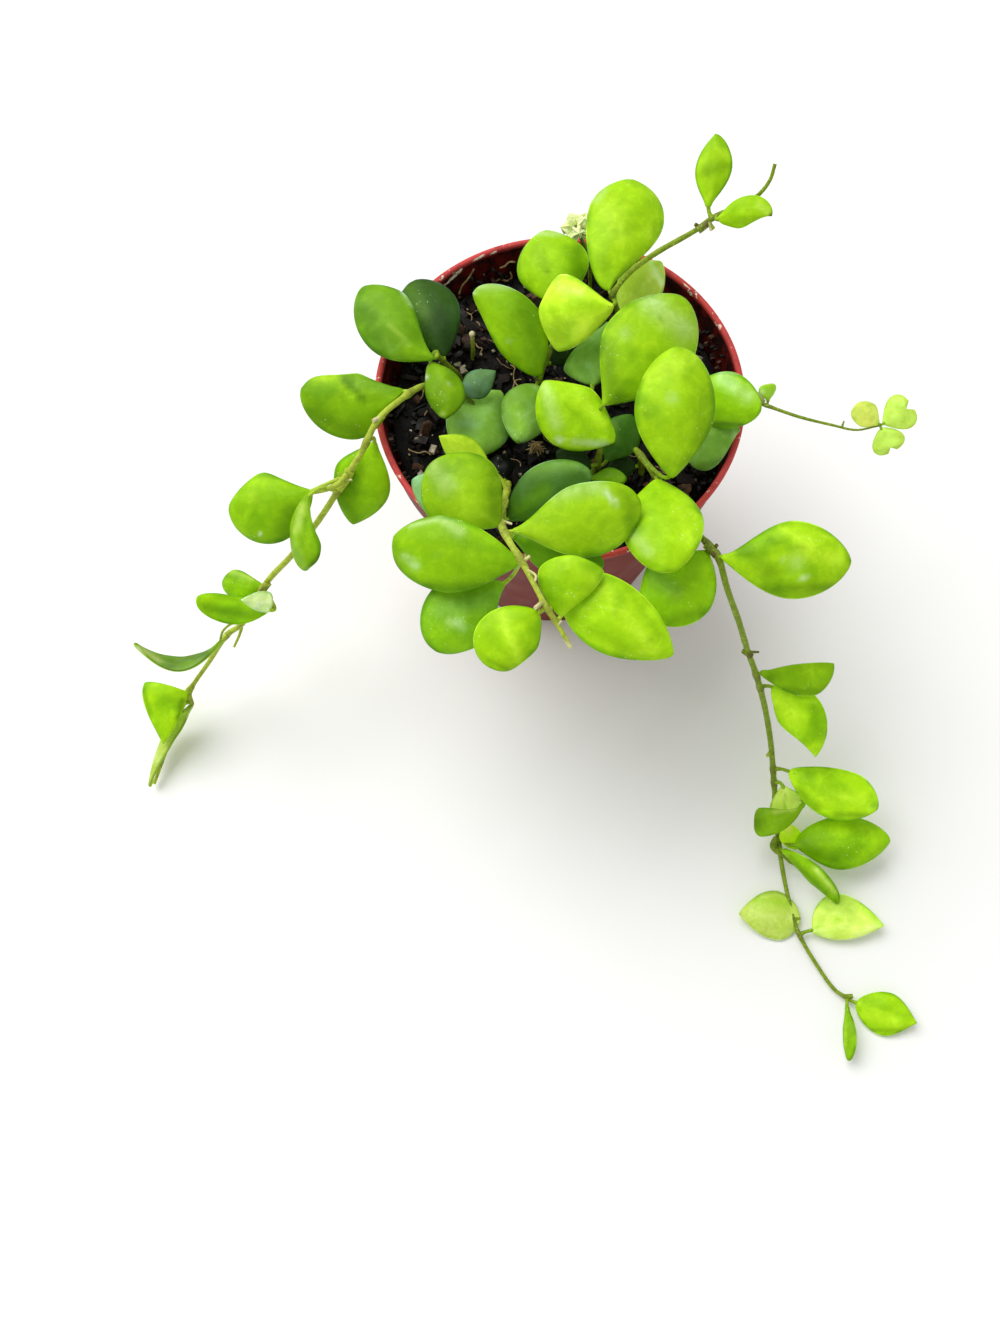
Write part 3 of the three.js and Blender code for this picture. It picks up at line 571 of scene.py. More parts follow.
            spot("shade", 835, 901, 3, 0.6),
            roll=45, bend=0.1, sway=0.15, peak=0.55, neck=0.7, lit=1.1,
        ),
        leaf(
            (800, 918, 2.6), (739, 914, 3.6), (14.1, 15.3), "pale",
            band("fresh", 756, 900, 788, 902, 6, 0.6),
            bend=0.05, peak=(0.35, 0.42), neck=(0.4, 0.49), tip=(0.85, 0.75), lit=0.9,
        ),
        leaf(
            (812, 930, 3), (884, 926, 4), (21, 6.8), "pale",
            band("fresh", 813, 928, 846, 917, 1.5, 0.6), band("fresh", 862, 905, 882, 922, 5, 0.6),
            bend=0.05, peak=(0.38, 0.42), neck=(0.4, 0.5), tip=(0.8, 0.9), lit=1.2,
        ),
        leaf(
            (856, 1003, 2.5), (917, 1023, 3.5), (11.9, 13.4), "fresh",
            band("leaf", 866, 1000, 906, 1017, 5, 0.7), band("lemon", 864, 1014, 896, 1023, 5, 0.4),
            band("shade", 872, 1030, 900, 1031, 2, 0.5),
            bend=0.05, peak=0.5, neck=(0.6, 0.55), tip=1,
        ),
        leaf(
            (847, 1006, 3.4), (849, 1061, 4.2), 5.6, "leaf",
            band("fresh", 846, 1018, 845, 1045, 1.5, 0.7),
            roll=48, sway=0.05, peak=0.6, bend=0.05, lit=0.9,
        ),
        leaf((637, 466, 84), (608, 467, 84), 8, "deep", bend=0.05),
        leaf(
            (783, 786, 20), (790, 816, 15), 10.8, "pale",
            band("leaf", 785, 794, 785, 811, 1.2, 0.6),
            bend=0.05, peak=0.75, neck=0.8, tip=0.5, thin=0.7,
        ),
        spurs=[
            spur((709, 546, 96), (703, 540, 97), thick=1.7, tone="brown_node"),
            spur((712, 550, 96), (717, 545, 98), thick=1.3, tone="brown_node"),
            spur((707, 545, 96.5), (716, 556, 97), thick=2.3, tone="brown_node"),
            spur((745, 650, 67.5), (751, 656, 66), thick=2.4, tone="brown_node"),
            spur((750, 652, 67), (759, 652, 68), thick=0.8, tone="brown_node"),
            spur((771, 752, 26.5), (767, 756, 27), thick=1.2, tone="green_stem"),
            spur((777, 838, 7), (773, 846, 6.5), (782, 854, 6), (792, 856, 6), thick=2.0, tone="olive_stem"),
            spur((776, 846, 6), (790, 862, 5), (800, 866, 5), thick=1.0, tone="olive_stem"),
            spur((845, 997, 2.2), (853, 996, 2.6), thick=1.6, tone="olive_stem"),
        ],
    ),
    "shoot_right": shoot(
        (668, 440), 1.7, "olive_stem",
        [(672, 428, 88), (680, 412, 94), (687, 398, 98)],
        leaf(
            (688, 388, 100), (761, 411, 101), 15, "leaf",
            band("edge", 722, 378, 748, 396, 7, 0.35), band("edge", 714, 371, 738, 373, 2, 0.5),
            band("dark", 716, 423, 742, 425, 2.5, 0.7),
            bend=0.1, neck=0.8, tip=0.5, lit=1.19,
        ),
        leaf(
            (684, 453, 93), (740, 430, 94), (15, 13.6), "dusty",
            band("dark", 700, 468, 735, 455, 4, 0.6), spot("edge", 735, 436, 5, 0.25),
            bend=0.08, peak=(0.52, 0.28), neck=(0.8, 0.35), tip=(0.5, 1.25), lit=1.32,
        ),
    ),
    "shoot_front": shoot(
        (506, 492), 1.9, "green_stem",
        [
            (508, 484, 89), (505, 500, 98), (500, 520, 104), (509, 541, 106.5), (521, 560, 107),
            (533, 582, 106.5), (544, 603, 105.5), (557, 624, 103.5), (569, 644, 101),
        ],
        leaf(
            (499, 526, 105), (429, 465, 109), (21, 22), "fresh",
            band("edge", 432, 466, 446, 486, 9, 0.35), band("shade", 494, 462, 495, 515, 13, 0.6),
            band("lemon", 448, 515, 475, 522, 8, 0.3), band("leaf", 428, 505, 440, 515, 6, 0.5),
            bend=0.12, peak=(0.55, 0.52), neck=(0.85, 0.75), tip=0.42, lit=0.7,
        ),
        leaf(
            (512, 531, 105), (640, 500, 109), (19, 19), "fresh",
            # Painted sheen across the leaf, and a painted gloss highlight near its tip
            band("edge", 556, 494, 600, 486, 7, 0.3), band("lime", 606, 492, 616, 503, 2.5, 0.5),
            band("shade", 620, 490, 626, 500, 6, 0.4), band("shade", 630, 500, 632, 530, 8, 0.35),
            band("lemon", 528, 530, 566, 545, 7, 0.35), band("leaf", 588, 520, 596, 512, 4, 0.5),
            sway=-0.055, bend=0.1, peak=(0.55, 0.6), neck=(1.15, 1.3), tip=(0.34, 0.5), lit=0.78,
        ),
        leaf(
            (508, 520, 96), (592, 474, 99), 14.4, "dark",
            band("dusty", 530, 466, 575, 462, 9, 0.7), band("shade", 520, 510, 545, 490, 8, 0.6),
            band("dusty", 586, 470, 592, 478, 3, 0.5),
            lit=1.1, bend=0.08, sway=0.07, neck=0.75, tip=0.5,
        ),
        leaf((492, 470, 98), (439, 436, 103), 8.5, "lemon", bend=0.05, tip=0.9, lit=0.68),
        leaf((480, 515, 96), (412, 480, 98), 12.5, "blue", bend=0.08, lit=1.8),
        # A leaf in the plant's shadow, painted nearly black as painted shade
        leaf((505, 481, 86), (497, 455, 87), 8, "deep", bend=0.05, lit=0.04),
        leaf(
            (519, 564, 106), (393, 539, 104), (21.6, 16.6), "leaf",
            band("edge", 446, 521, 460, 532, 5, 0.45), band("edge", 404, 556, 416, 566, 3.5, 0.45),
            band("edge", 410, 526, 440, 518, 2.5, 0.5), spot("lime", 438, 557, 2, 0.45),
            spot("fresh", 404, 545, 7, 0.4), band("shade", 425, 586, 480, 585, 5, 0.6),
            band("fresh", 476, 560, 505, 570, 7, 0.4), band("shade", 395, 560, 400, 570, 4, 0.5),
            bend=0.1, peak=(0.56, 0.6), neck=(0.85, 0.7), tip=(0.3, 0.55), lit=0.95,
        ),
        leaf(
            (512, 536, 98), (604, 566, 97), 13, "mid",
            band("shade", 560, 552, 600, 560, 9, 0.7),
            bend=0.06,
        ),
        leaf(
            (505, 583, 97), (437, 652, 90), (18.4, 20), "mid",
            band("dusty", 440, 612, 492, 600, 9, 0.5), band("edge", 450, 622, 462, 626, 4, 0.35),
            band("leaf", 434, 636, 464, 648, 8, 0.6), band("shade", 428, 640, 436, 652, 4, 0.5),
            sway=-0.09, bend=0.1, peak=0.55, tip=0.42, at=(520, 560, 107), lit=1.2,
        ),
        leaf(
            (539, 613, 104), (492, 669, 99), (13.8, 17.1), "fresh",
            band("lemon", 500, 614, 520, 660, 5, 0.5), band("leaf", 484, 625, 500, 650, 6, 0.4),
            band("leaf", 520, 618, 540, 634, 6, 0.4), band("shade", 488, 660, 508, 670, 3, 0.5),
            sway=-0.084, bend=0.12, peak=(0.4, 0.6), neck=(0.5, 0.65), tip=(0.25, 0.4), lit=0.9,
        ),
        leaf(
            (561, 617, 103), (576, 556, 109), (16.6, 15.5), "fresh",
            band("lemon", 574, 562, 598, 582, 8, 0.4), band("leaf", 543, 585, 556, 612, 8, 0.6),
            bend=0.08, peak=(0.64, 0.88), neck=(0.75, 1.05), tip=(0.5, 0.3), lit=0.9,
        ),
        leaf(
            (564, 604, 101), (673, 655, 96), (21, 17.4), "fresh",
            band("lemon", 606, 590, 648, 644, 6, 0.5), band("leaf", 628, 590, 660, 636, 4, 0.7),
            band("leaf", 574, 616, 625, 648, 6, 0.6), spot("shade", 650, 640, 4, 0.4),
            band("lemon", 640, 652, 660, 650, 3, 0.4),
            sway=0.05, bend=0.1, peak=(0.24, 0.43), neck=(0.4, 0.43), tip=(0.7, 0.6), lit=0.95,
        ),
        spurs=[
            spur((522, 562, 107), (530, 556, 108), thick=1.0, tone="cut_end"),
            spur((524, 568, 107), (536, 576, 108), (535, 581, 108), thick=0.8, tone="cut_end"),
            spur((543, 602, 105.5), (535, 608, 107), thick=1.3, tone="cut_end"),
            spur((541, 600, 106), (538, 610, 106), thick=0.8, tone="green_stem"),
            spur((500, 520, 105), (512, 524, 105), thick=0.8, tone="cut_end"),
            spur((501, 515, 104), (508, 500, 103), thick=0.8, tone="green_stem"),
            spur((558, 626, 103.5), (561, 621, 105), thick=0.7, tone="cut_end"),
            spur((565, 637, 102), (571, 648, 100.5), thick=1.4, tone="cut_end"),
        ],
    ),
    "clover": shoot(
        (706, 402), 0.9, "olive_stem",
        [
            (710, 398, 84), (736, 396, 92.5), (762, 404, 95), (798, 416.5, 94), (832, 425, 91),
            (857, 430, 90), (880, 425, 91),
        ],
        leaf(
            (768, 401, 95), (768, 384, 99), 5, "leaf",
            spot("edge", 762, 392, 3, 0.7),
            roll=20, bend=0.05, peak=0.7, tip=0.3, thin=0.6, lit=1.5,
        ),
        leaf(
            (879, 424, 92), (853, 408, 96), (6.2, 7.6), "clover", bend=0.05, cup=0.05, tip=0.35, thin=0.6,
            lit=1.35,
        ),
        leaf(
            (883, 424, 92), (912, 405, 96), 10, "clover", bend=0.05, peak=0.66, neck=0.8, tip=0.25,
            notch=0.2, thin=0.6,
        ),
        leaf(
            (881, 428, 91), (893, 452, 88), 9, "clover", bend=0.05, peak=0.66, neck=0.7, tip=0.25,
            notch=0.2, thin=0.6,
        ),
        spurs=[
            spur((842, 427, 90.5), (844, 421, 91.5), thick=0.6, tone="olive_stem"),
            spur((764, 402, 95), (758, 392, 97), thick=1.0, tone="cut_end"),
        ],
    ),
}

# Dried crust on the inner wall, dead roots that dried on to it, the white grains that stand out, and a tuft
# of dead roots on the mix
CRUSTS = (
    band("crust", 444, 286, 462, 269, 2.4, 0.85),
    band("crust", 466, 266, 484, 255, 2.2, 0.8),
    band("crust", 486, 257, 496, 252, 3.0, 0.8),
    band("crust", 662, 259, 675, 266, 2.2, 0.9),
    band("crust", 679, 277, 691, 290, 2.6, 0.8),
    band("crust", 688, 291, 693, 296, 2.4, 0.9),
    band("crust", 703, 300, 708, 305, 2.4, 0.9),
    band("crust", 436, 300, 430, 308, 1.6, 0.7),
)
WALL_ROOTS = (
    ((474, 269), (468, 279), (462, 286), (459, 294)),
    ((494, 283), (500, 279), (507, 281), (512, 277), (510, 272)),
    ((456, 304), (461, 306), (466, 309), (471.5, 311)),
    ((500, 268), (505, 266), (509, 262), (515, 262)),
)
GRIT_SHOWN = ((463.5, 368), (456, 361), (418.6, 438), (432.6, 448), (410, 476), (716.5, 352), (702, 333))
ROOT_TUFT = (536, 450, 81)

STUB = shoot((473, 359), 1.2, "green_stem", [(473, 348, 88), (472, 332, 95)])
STUB_CAP = 0.9 * MM
BLOOM = shoot((590, 290), 1.1, "olive_stem", [(589, 262, 89), (585, 247, 97), (577, 229, 102)])


# Where the photograph shows a place


def standpoint():
    """The eye's place and its directions to the right, up and ahead."""
    rim = Vector((0, 0, POT_HEIGHT))
    level = math.sin(EYE_TILT)
    to_eye = Vector((-level * math.sin(EYE_BEARING), -level * math.cos(EYE_BEARING), math.cos(EYE_TILT)))
    line = -to_eye
    shown = Vector((RIM_ACROSS - PHOTO_WIDE / 2, PHOTO_TALL / 2 - RIM_DOWN, SIGHT)).normalized()
    share = math.sqrt((1 - shown.x**2) / (1 - line.x**2))
    right = Vector((share, 0, 0)) + line * (shown.x - share * line.x)
    rest = line - right * shown.x
    across = right.cross(rest)
    size = rest.length_squared
    ahead = rest * (shown.z / size) - across * (shown.y / size)
    up = rest * (shown.y / size) + across * (shown.z / size)
    return rim + to_eye * EYE_DISTANCE, right, up, ahead


EYE, RIGHT, UP, AHEAD = standpoint()


def seen(place):
    """The point that the photograph shows at these pixels, at this height in mm."""
    across, down, height = place
    line = AHEAD + RIGHT * ((across - PHOTO_WIDE / 2) / SIGHT) + UP * ((PHOTO_TALL / 2 - down) / SIGHT)
    return EYE + line * ((height * MM - EYE.z) / line.z)


def in_photo(rows):
    """The pixels at which the photograph shows these points."""
    lines = rows - np.array(EYE)
    depth = lines @ np.array(AHEAD)
    across = PHOTO_WIDE / 2 + SIGHT * (lines @ np.array(RIGHT)) / depth
    down = PHOTO_TALL / 2 - SIGHT * (lines @ np.array(UP)) / depth
    return np.stack([across, down], 1)


def share_of(mark, spots):
    """How much of a soft patch falls on each of these pixels."""
    _, start, end, size, strength = mark
    start = np.array(start, float)
    way = np.array(end, float) - start
    along = np.clip((spots - start) @ way / max(way @ way, 1e-9), 0, 1)
    gap = np.linalg.norm(spots - start - along[:, None] * way, axis=1)
    return strength * np.exp(-((gap / size) ** 2))


def smooth_step(share):
    share = min(1.0, max(0.0, share))
    return share * share * (3 - 2 * share)


def smooth_path(places, spacing):
    """Points a given way apart on the centripetal curve through the places."""
    ends = [places[0] * 2 - places[1], *places, places[-1] * 2 - places[-2]]
    fine = [places[0]]
    for k in range(1, len(ends) - 2):
        p0, p1, p2, p3 = ends[k - 1 : k + 3]
        d0, d1, d2 = [math.sqrt((b - a).length) for a, b in ((p0, p1), (p1, p2), (p2, p3))]
        t1 = ((p1 - p0) / d0 - (p2 - p0) / (d0 + d1) + (p2 - p1) / d1) * d1
        t2 = ((p2 - p1) / d1 - (p3 - p1) / (d1 + d2) + (p3 - p2) / d2) * d1
        for i in range(1, CURVE_STEPS + 1):
            t = i / CURVE_STEPS
            bow = (p2 * 3 - p1 * 3 - t1 * 2 - t2) * t**2 + (p1 * 2 - p2 * 2 + t1 + t2) * t**3
            fine.append(p1 + t1 * t + bow)
    run = [0.0]
    for a, b in zip(fine, fine[1:]):
        run.append(run[-1] + (b - a).length)
    wanted = np.linspace(0, run[-1], max(2, round(run[-1] / spacing)) + 1)
    axes = [np.interp(wanted, run, [p[axis] for p in fine]) for axis in range(3)]
    return [Vector(p) for p in zip(*axes)]


def inner_wall(height, clear):
    """How far out the pot's inner wall is at this height, less a clear gap."""
    return RIM_RADIUS - clear - (POT_HEIGHT - height) * WALL_TAPER


def on_wall(across, down):
    """The place on the far inner wall that the photograph shows at these pixels."""
    low, high = SOIL_LEVEL / MM, POT_HEIGHT / MM
    for _ in range(24):
        height = (low + high) / 2
        place = seen((across, down, height))
        if math.hypot(place.x, place.y) > inner_wall(place.z, 2.3 * MM):
            low = height
        else:
            high = height
    return place


# Working with objects, as by hand


def drop_selection():
    if bpy.context.object is not None and bpy.context.object.mode != "OBJECT":
        bpy.ops.object.mode_set(mode="OBJECT")
    bpy.ops.object.select_all(action="DESELECT")


def take(*pieces):
    """Selects these pieces alone, with the first one active."""
    drop_selection()
    for piece in pieces:
        piece.select_set(True)
    bpy.context.view_layer.objects.active = pieces[0]


def named(name):
    """The new active object, under this name."""
    piece = bpy.context.object
    piece.name = name
    piece.data.name = name
    return piece


def placed(name, mesh):
    """A new object with this mesh."""
    piece = bpy.data.objects.new(name, mesh)
    bpy.context.collection.objects.link(piece)
    return piece


def join(name, pieces):
    take(*pieces)
    if len(pieces) > 1:
        bpy.ops.object.join()
    return named(name)


def apply_place(piece):
    take(piece)
    bpy.ops.object.transform_apply(location=True, rotation=True, scale=True)


def weld(piece):
    """Merges doubled corners, and turns all faces outwards."""
    take(piece)
    bpy.ops.object.mode_set(mode="EDIT")
    bpy.ops.mesh.select_all(action="SELECT")
    bpy.ops.mesh.remove_doubles(threshold=0.01 * MM)
    bpy.ops.mesh.normals_make_consistent(inside=False)
    bpy.ops.object.mode_set(mode="OBJECT")


def edit_top(piece):
    """Goes into edit mode with only the faces that look straight up selected."""
    bpy.ops.object.mode_set(mode="EDIT")
    bpy.ops.mesh.select_mode(type="FACE")
    bpy.ops.mesh.select_all(action="DESELECT")
    bpy.ops.object.mode_set(mode="OBJECT")
    for face in piece.data.polygons:
        face.select = face.normal.z > 0.9
    bpy.ops.object.mode_set(mode="EDIT")


def draw_up(rise, share):
    """Extrudes what is selected by this height, and narrows or widens it round the middle."""
    bpy.ops.mesh.extrude_region_move(TRANSFORM_OT_translate={"value": (0, 0, rise)})
    bpy.ops.transform.resize(value=(share, share, 1), center_override=(0, 0, 0))


def finish_piece(piece, material, slot, *nodes, angle=50):
    """Gives a piece its finish, hides the frame's solids that it replaces, and hangs it from the root body.
    """
    piece.data.materials.clear()
    piece.data.materials.append(material)
    take(piece)
    bpy.ops.object.shade_smooth_by_angle(angle=math.radians(angle))
    if nodes:
        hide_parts(*nodes)
    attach(piece, "root")


def places_of(mesh):
    rows = np.empty(len(mesh.vertices) * 3, np.float32)
    mesh.vertices.foreach_get("co", rows)
    return rows.reshape(-1, 3)


def put_places(mesh, rows):
    mesh.vertices.foreach_set("co", np.asarray(rows, np.float32).ravel())
    mesh.update()


def paint(mesh, name, values):
    """A colour for every corner of a mesh, as an attribute that its material reads."""
    rows = np.ones((len(mesh.vertices), 4), np.float32)
    rows[:, :3] = values
    mesh.attributes.new(name, "FLOAT_COLOR", "POINT").data.foreach_set("color", rows.ravel())


def mark_out(mesh, name, rows):
    """Three measures for every corner of a mesh, as an attribute that its material reads."""
    values = np.asarray(rows, np.float32).ravel()
    mesh.attributes.new(name, "FLOAT_VECTOR", "POINT").data.foreach_set("vector", values)


# Finishes


class Finish:
    """A material and its nodes, made one after another."""

    def __init__(self, name):
        self.material = bpy.data.materials.new(name)
        self.material.use_nodes = True
        self.tree = self.material.node_tree
        self.shader = next(n for n in self.tree.nodes if n.type == "BSDF_PRINCIPLED")
        self.object = self.add("ShaderNodeTexCoord").outputs["Object"]

    def add(self, kind, **settings):
        node = self.tree.nodes.new(kind)
        for key, value in settings.items():
            setattr(node, key, value)
        return node

    def feed(self, socket, value):
        """Links a socket, or sets it where the value is a number or a colour."""
        if isinstance(value, bpy.types.NodeSocket):
            self.tree.links.new(value, socket)
        elif isinstance(value, (int, float)):
            socket.default_value = value
        else:
            socket.default_value = (*value, 1)

    def set(self, **values):
        for key, value in values.items():
            self.shader.inputs[key.replace("_", " ")].default_value = value

    def paint(self, value, socket="Base Color"):
        self.feed(self.shader.inputs[socket], value)

    def read(self, name):
        return self.add("ShaderNodeAttribute", attribute_name=name).outputs["Color"]

    def read_marks(self, name):
        """The three measures that are marked out on the piece."""
        node = self.add("ShaderNodeSeparateXYZ")
        measures = self.add("ShaderNodeAttribute", attribute_name=name)
        self.feed(node.inputs["Vector"], measures.outputs["Vector"])
        return node.outputs

    def noise(self, scale, detail=3.0, rough=0.55, warp=0.0):
        node = self.add("ShaderNodeTexNoise")
        for key, value in (("Scale", scale), ("Detail", detail), ("Roughness", rough), ("Distortion", warp)):
            node.inputs[key].default_value = value
        self.feed(node.inputs["Vector"], self.object)
        return node.outputs["Fac"]

    def cells(self, scale):
        node = self.add("ShaderNodeTexVoronoi")
        node.inputs["Scale"].default_value = scale
        self.feed(node.inputs["Vector"], self.object)
        return node.outputs["Distance"]

    def step(self, value, low, high, bottom=0.0, top=1.0):
        """A smooth rise from bottom to top as the value goes from low to high."""
        node = self.add("ShaderNodeMapRange", interpolation_type="SMOOTHSTEP")
        self.feed(node.inputs["Value"], value)
        for key, number in (("From Min", low), ("From Max", high), ("To Min", bottom), ("To Max", top)):
            node.inputs[key].default_value = number
        return node.outputs["Result"]

    def reckon(self, operation, first, second):
        node = self.add("ShaderNodeMath", operation=operation)
        self.feed(node.inputs[0], first)
        self.feed(node.inputs[1], second)
        return node.outputs["Value"]

    def plus(self, first, second):
        return self.reckon("ADD", first, second)

    def times(self, first, second):
        return self.reckon("MULTIPLY", first, second)

    def larger(self, first, second):
        return self.reckon("MAXIMUM", first, second)

    def mix(self, share, first, second, blend="MIX"):
        node = self.add("ShaderNodeMix", data_type="RGBA", blend_type=blend)
        for number, value in ((0, share), (6, first), (7, second)):
            self.feed(node.inputs[number], value)
        return node.outputs[2]

    def tint(self, share, first, second):
        """A colour that another one lightens or darkens by this share."""
        return self.mix(share, first, second, "MULTIPLY")

    def bump(self, height, depth, strength=1.0, after=None):
        node = self.add("ShaderNodeBump")
        node.inputs["Strength"].default_value = strength
        node.inputs["Distance"].default_value = depth
        self.feed(node.inputs["Height"], height)
        if after is not None:
            self.feed(node.inputs["Normal"], after)
        self.paint(node.outputs["Normal"], "Normal")
        return node.outputs["Normal"]


def leaf_finish(settings):
    """Waxy leaf: its painted colour, which carries painted light and shade, soft lighter and darker patches,
    painted shade along its rim with a thin pale edge that is partly a painted highlight, and white specks.
    """
    finish = Finish("waxy leaf")
    side, rib, under = finish.read_marks("leaf_place")
    shown = finish.read("leaf_colour")
    clouds = finish.step(finish.noise(115, 2.0, 0.5, 0.5), 0.46, 0.68, 0.0, 0.7)
    shown = finish.tint(clouds, shown, (1.24, 1.2, 2.2))
    hollows = finish.step(finish.noise(88, 2.0), 0.5, 0.72, 0.0, 0.8)
    shown = finish.tint(hollows, shown, (0.6, 0.72, 0.5))
    dapple = finish.step(finish.noise(380, 3.0, 0.6, 0.6), 0.46, 0.66, 0.0, 0.7)
    shown = finish.tint(dapple, shown, (1.22, 1.14, 1.6))
    grain = finish.step(finish.noise(1100), 0.3, 0.7, 0.0, 0.5)
    shown = finish.tint(grain, shown, (1.14, 1.08, 1.2))
    shown = finish.tint(finish.times(rib, 0.45), shown, (1.5, 1.3, 3.0))
    # Painted shade along the rim, where the thick edge turns away from the light, and a thin pale line at the
    # very edge, partly the leaf's own margin and partly a painted highlight; the noise picks which stretches
    # are lit
    stretches = finish.step(finish.noise(70, 2.0), 0.44, 0.56)
    darker = finish.times(finish.step(side, 0.8, 0.98), finish.plus(finish.times(stretches, 0.6), 0.3))
    shown = finish.tint(darker, shown, (0.5, 0.64, 0.4))
    lighter = finish.times(finish.step(side, 0.95, 0.99), finish.reckon("SUBTRACT", 0.8, stretches))
    shown = finish.tint(lighter, shown, (1.7, 1.5, 6.0))
    shown = finish.mix(finish.times(under, 0.5), shown, settings.pale)
    rare = finish.step(finish.noise(110, 1.0), 0.56, 0.66)
    fine = finish.step(finish.cells(760), 0.07, 0.13, 1.0, 0.0)
    smudge = finish.step(finish.noise(540, 4.0, 0.7, 1.2), 0.66, 0.72, 0.0, 0.55)
    specks = finish.times(finish.times(finish.larger(fine, smudge), rare), 0.8)
    finish.paint(finish.mix(specks, shown, settings.lime))
    gloss = finish.step(finish.noise(320), 0.3, 0.75, 0.36, 0.52)
    finish.paint(finish.larger(gloss, specks), "Roughness")
    waves = finish.bump(finish.noise(260, 3.0, 0.5), 0.5 * MM, 0.5)
    finish.bump(finish.noise(1300, 3.0, 0.6), 0.08 * MM, 0.4, waves)
    finish.set(Specular_IOR_Level=0.1, Subsurface_Weight=0.1)
    finish.set(Subsurface_Radius=(0.6, 1.0, 0.1), Subsurface_Scale=0.5 * MM)
    return finish.material


def clover_finish(settings, bloom):
    """Thin matt clover leaf with fine veins."""
    finish = Finish("clover leaf")
    side, rib, _ = finish.read_marks("leaf_place")
    patches = finish.step(finish.noise(420), 0.4, 0.7, 0.0, 0.5)
    patched = finish.mix(patches, finish.read("leaf_colour"), bloom.clover_edge)
    ribbed = finish.mix(finish.times(rib, 0.6), patched, settings.pale)
    finish.paint(finish.mix(finish.step(side, 0.85, 1.0, 0.0, 0.5), ribbed, bloom.clover_edge))
    finish.bump(finish.noise(1100), 0.12 * MM, 0.6)
    finish.set(Roughness=0.6, Subsurface_Weight=0.2, Subsurface_Scale=0.5 * MM)
    return finish.material


def stem_finish(settings):
    """Smooth green stem with darker grain, and corky at its nodes."""
    finish = Finish("green stem")
    streaks = finish.step(finish.noise(520, 4.0, 0.6, 0.8), 0.36, 0.68, 0.0, 0.8)
    streaked = finish.tint(streaks, finish.read("stem_colour"), (0.62, 0.62, 0.5))
    flecks = finish.step(finish.noise(1700, 2.0), 0.56, 0.7, 0.0, 0.4)
    finish.paint(finish.mix(flecks, streaked, settings.pale))
    finish.bump(finish.noise(1300), 0.14 * MM, 0.6)
    finish.set(Roughness=0.5, Specular_IOR_Level=0.2, Subsurface_Weight=0.08, Subsurface_Scale=0.5 * MM)
    return finish.material


def pot_finish(settings):
    """Thin red-brown plastic: satin, its bead paler for wear and a painted highlight, the inside of the wall
    painted darker as painted shade, with dried crust and near-black patches there, partly dirt and partly
    painted shade.
    """
    finish = Finish("moulded plastic")
    bead, crusted, inside = finish.read_marks("pot_wear")
    clouds = finish.step(finish.noise(34, 4.0), 0.35, 0.7, 0.0, 0.3)
    shown = finish.mix(clouds, settings.plastic, settings.deep_plastic)
    # Painted shade: the inside of the wall takes the darker, shaded colour
    shown = finish.mix(finish.step(inside, 0.05, 0.6), shown, settings.shaded_inner_plastic)
    # Near-black patches over the inside: dirt, and painted shade that deepens it further
    dirt_and_shade_smears = finish.step(finish.noise(230, 5.0, 0.7), 0.38, 0.58, 0.0, 0.92)
    shown = finish.mix(finish.times(dirt_and_shade_smears, inside), shown, settings.soil_and_shade)
    # The bead is painted paler: wear, and a painted highlight where light catches the rim
    worn_and_lit = finish.times(bead, finish.step(finish.noise(240, 4.0, 0.65), 0.3, 0.5, 0.55, 1.0))
    shown = finish.mix(worn_and_lit, shown, settings.scuffed_and_lit)
    flecks = finish.step(finish.noise(520, 3.0, 0.6), 0.62, 0.7, 0.0, 0.8)
    shown = finish.mix(finish.times(flecks, bead), shown, settings.crust)
    torn = finish.plus(crusted, finish.times(finish.noise(420, 5.0, 0.7, 0.6), 0.9))
    crust = finish.step(torn, 1.04, 1.14)
    shades = finish.mix(finish.step(finish.noise(700), 0.5, 0.7), settings.crust, (0.5, 0.36, 0.2))
    finish.paint(finish.mix(crust, shown, shades))
    gloss = finish.step(finish.noise(90, 4.0), 0.3, 0.7, 0.5, 0.64)
    finish.paint(finish.larger(gloss, crust), "Roughness")
    finish.bump(finish.plus(finish.noise(1400, 2.0), finish.times(crust, 4.0)), 0.06 * MM, 0.6)
    finish.set(Specular_IOR_Level=0.2)
    return finish.material


def mix_finish(name, rough, depth):
    """Bark, white grains and fibre: each grain has its own painted colour, darker where it is damp."""
    finish = Finish(name)
    damp = finish.step(finish.noise(300, 4.0, 0.65), 0.38, 0.66, 0.0, 0.75)
    grain = finish.step(finish.noise(900, 4.0, 0.7), 0.4, 0.7)
    grained = finish.tint(grain, finish.read("grain_colour"), (1.8, 1.7, 1.6))
    finish.paint(finish.tint(damp, grained, (0.3, 0.26, 0.24)))
    finish.paint(finish.step(damp, 0.0, 0.75, rough, rough - 0.35), "Roughness")
    finish.bump(finish.noise(1600, 4.0, 0.7), depth, 0.9)
    finish.set(Specular_IOR_Level=0.35)
    return finish.material


def petal_finish(settings):
    """Dry papery petals, shaded in their creases."""
    finish = Finish("dry petal")
    shade = finish.step(finish.noise(900, 3.0, 0.6), 0.5, 0.72, 0.0, 0.8)
    finish.paint(finish.mix(shade, settings.petal, settings.petal_shade))
    finish.bump(finish.noise(1800, 2.0), 0.1 * MM, 0.6)
    finish.set(Roughness=0.75, Subsurface_Weight=0.15, Subsurface_Scale=0.4 * MM)
    return finish.material


def floor_finish(settings):
    """Plain pale floor with a faint tooth."""
    finish = Finish("pale floor")
    clouds = finish.step(finish.noise(2.2, 2.0), 0.3, 0.7, 0.0, 0.02)
    finish.paint(finish.mix(clouds, settings.floor, (0.8, 0.8, 0.8)))
    finish.bump(finish.noise(700, 2.0), 0.03 * MM, 0.2)
    finish.set(Roughness=0.85, Specular_IOR_Level=0.15)
    return finish.material


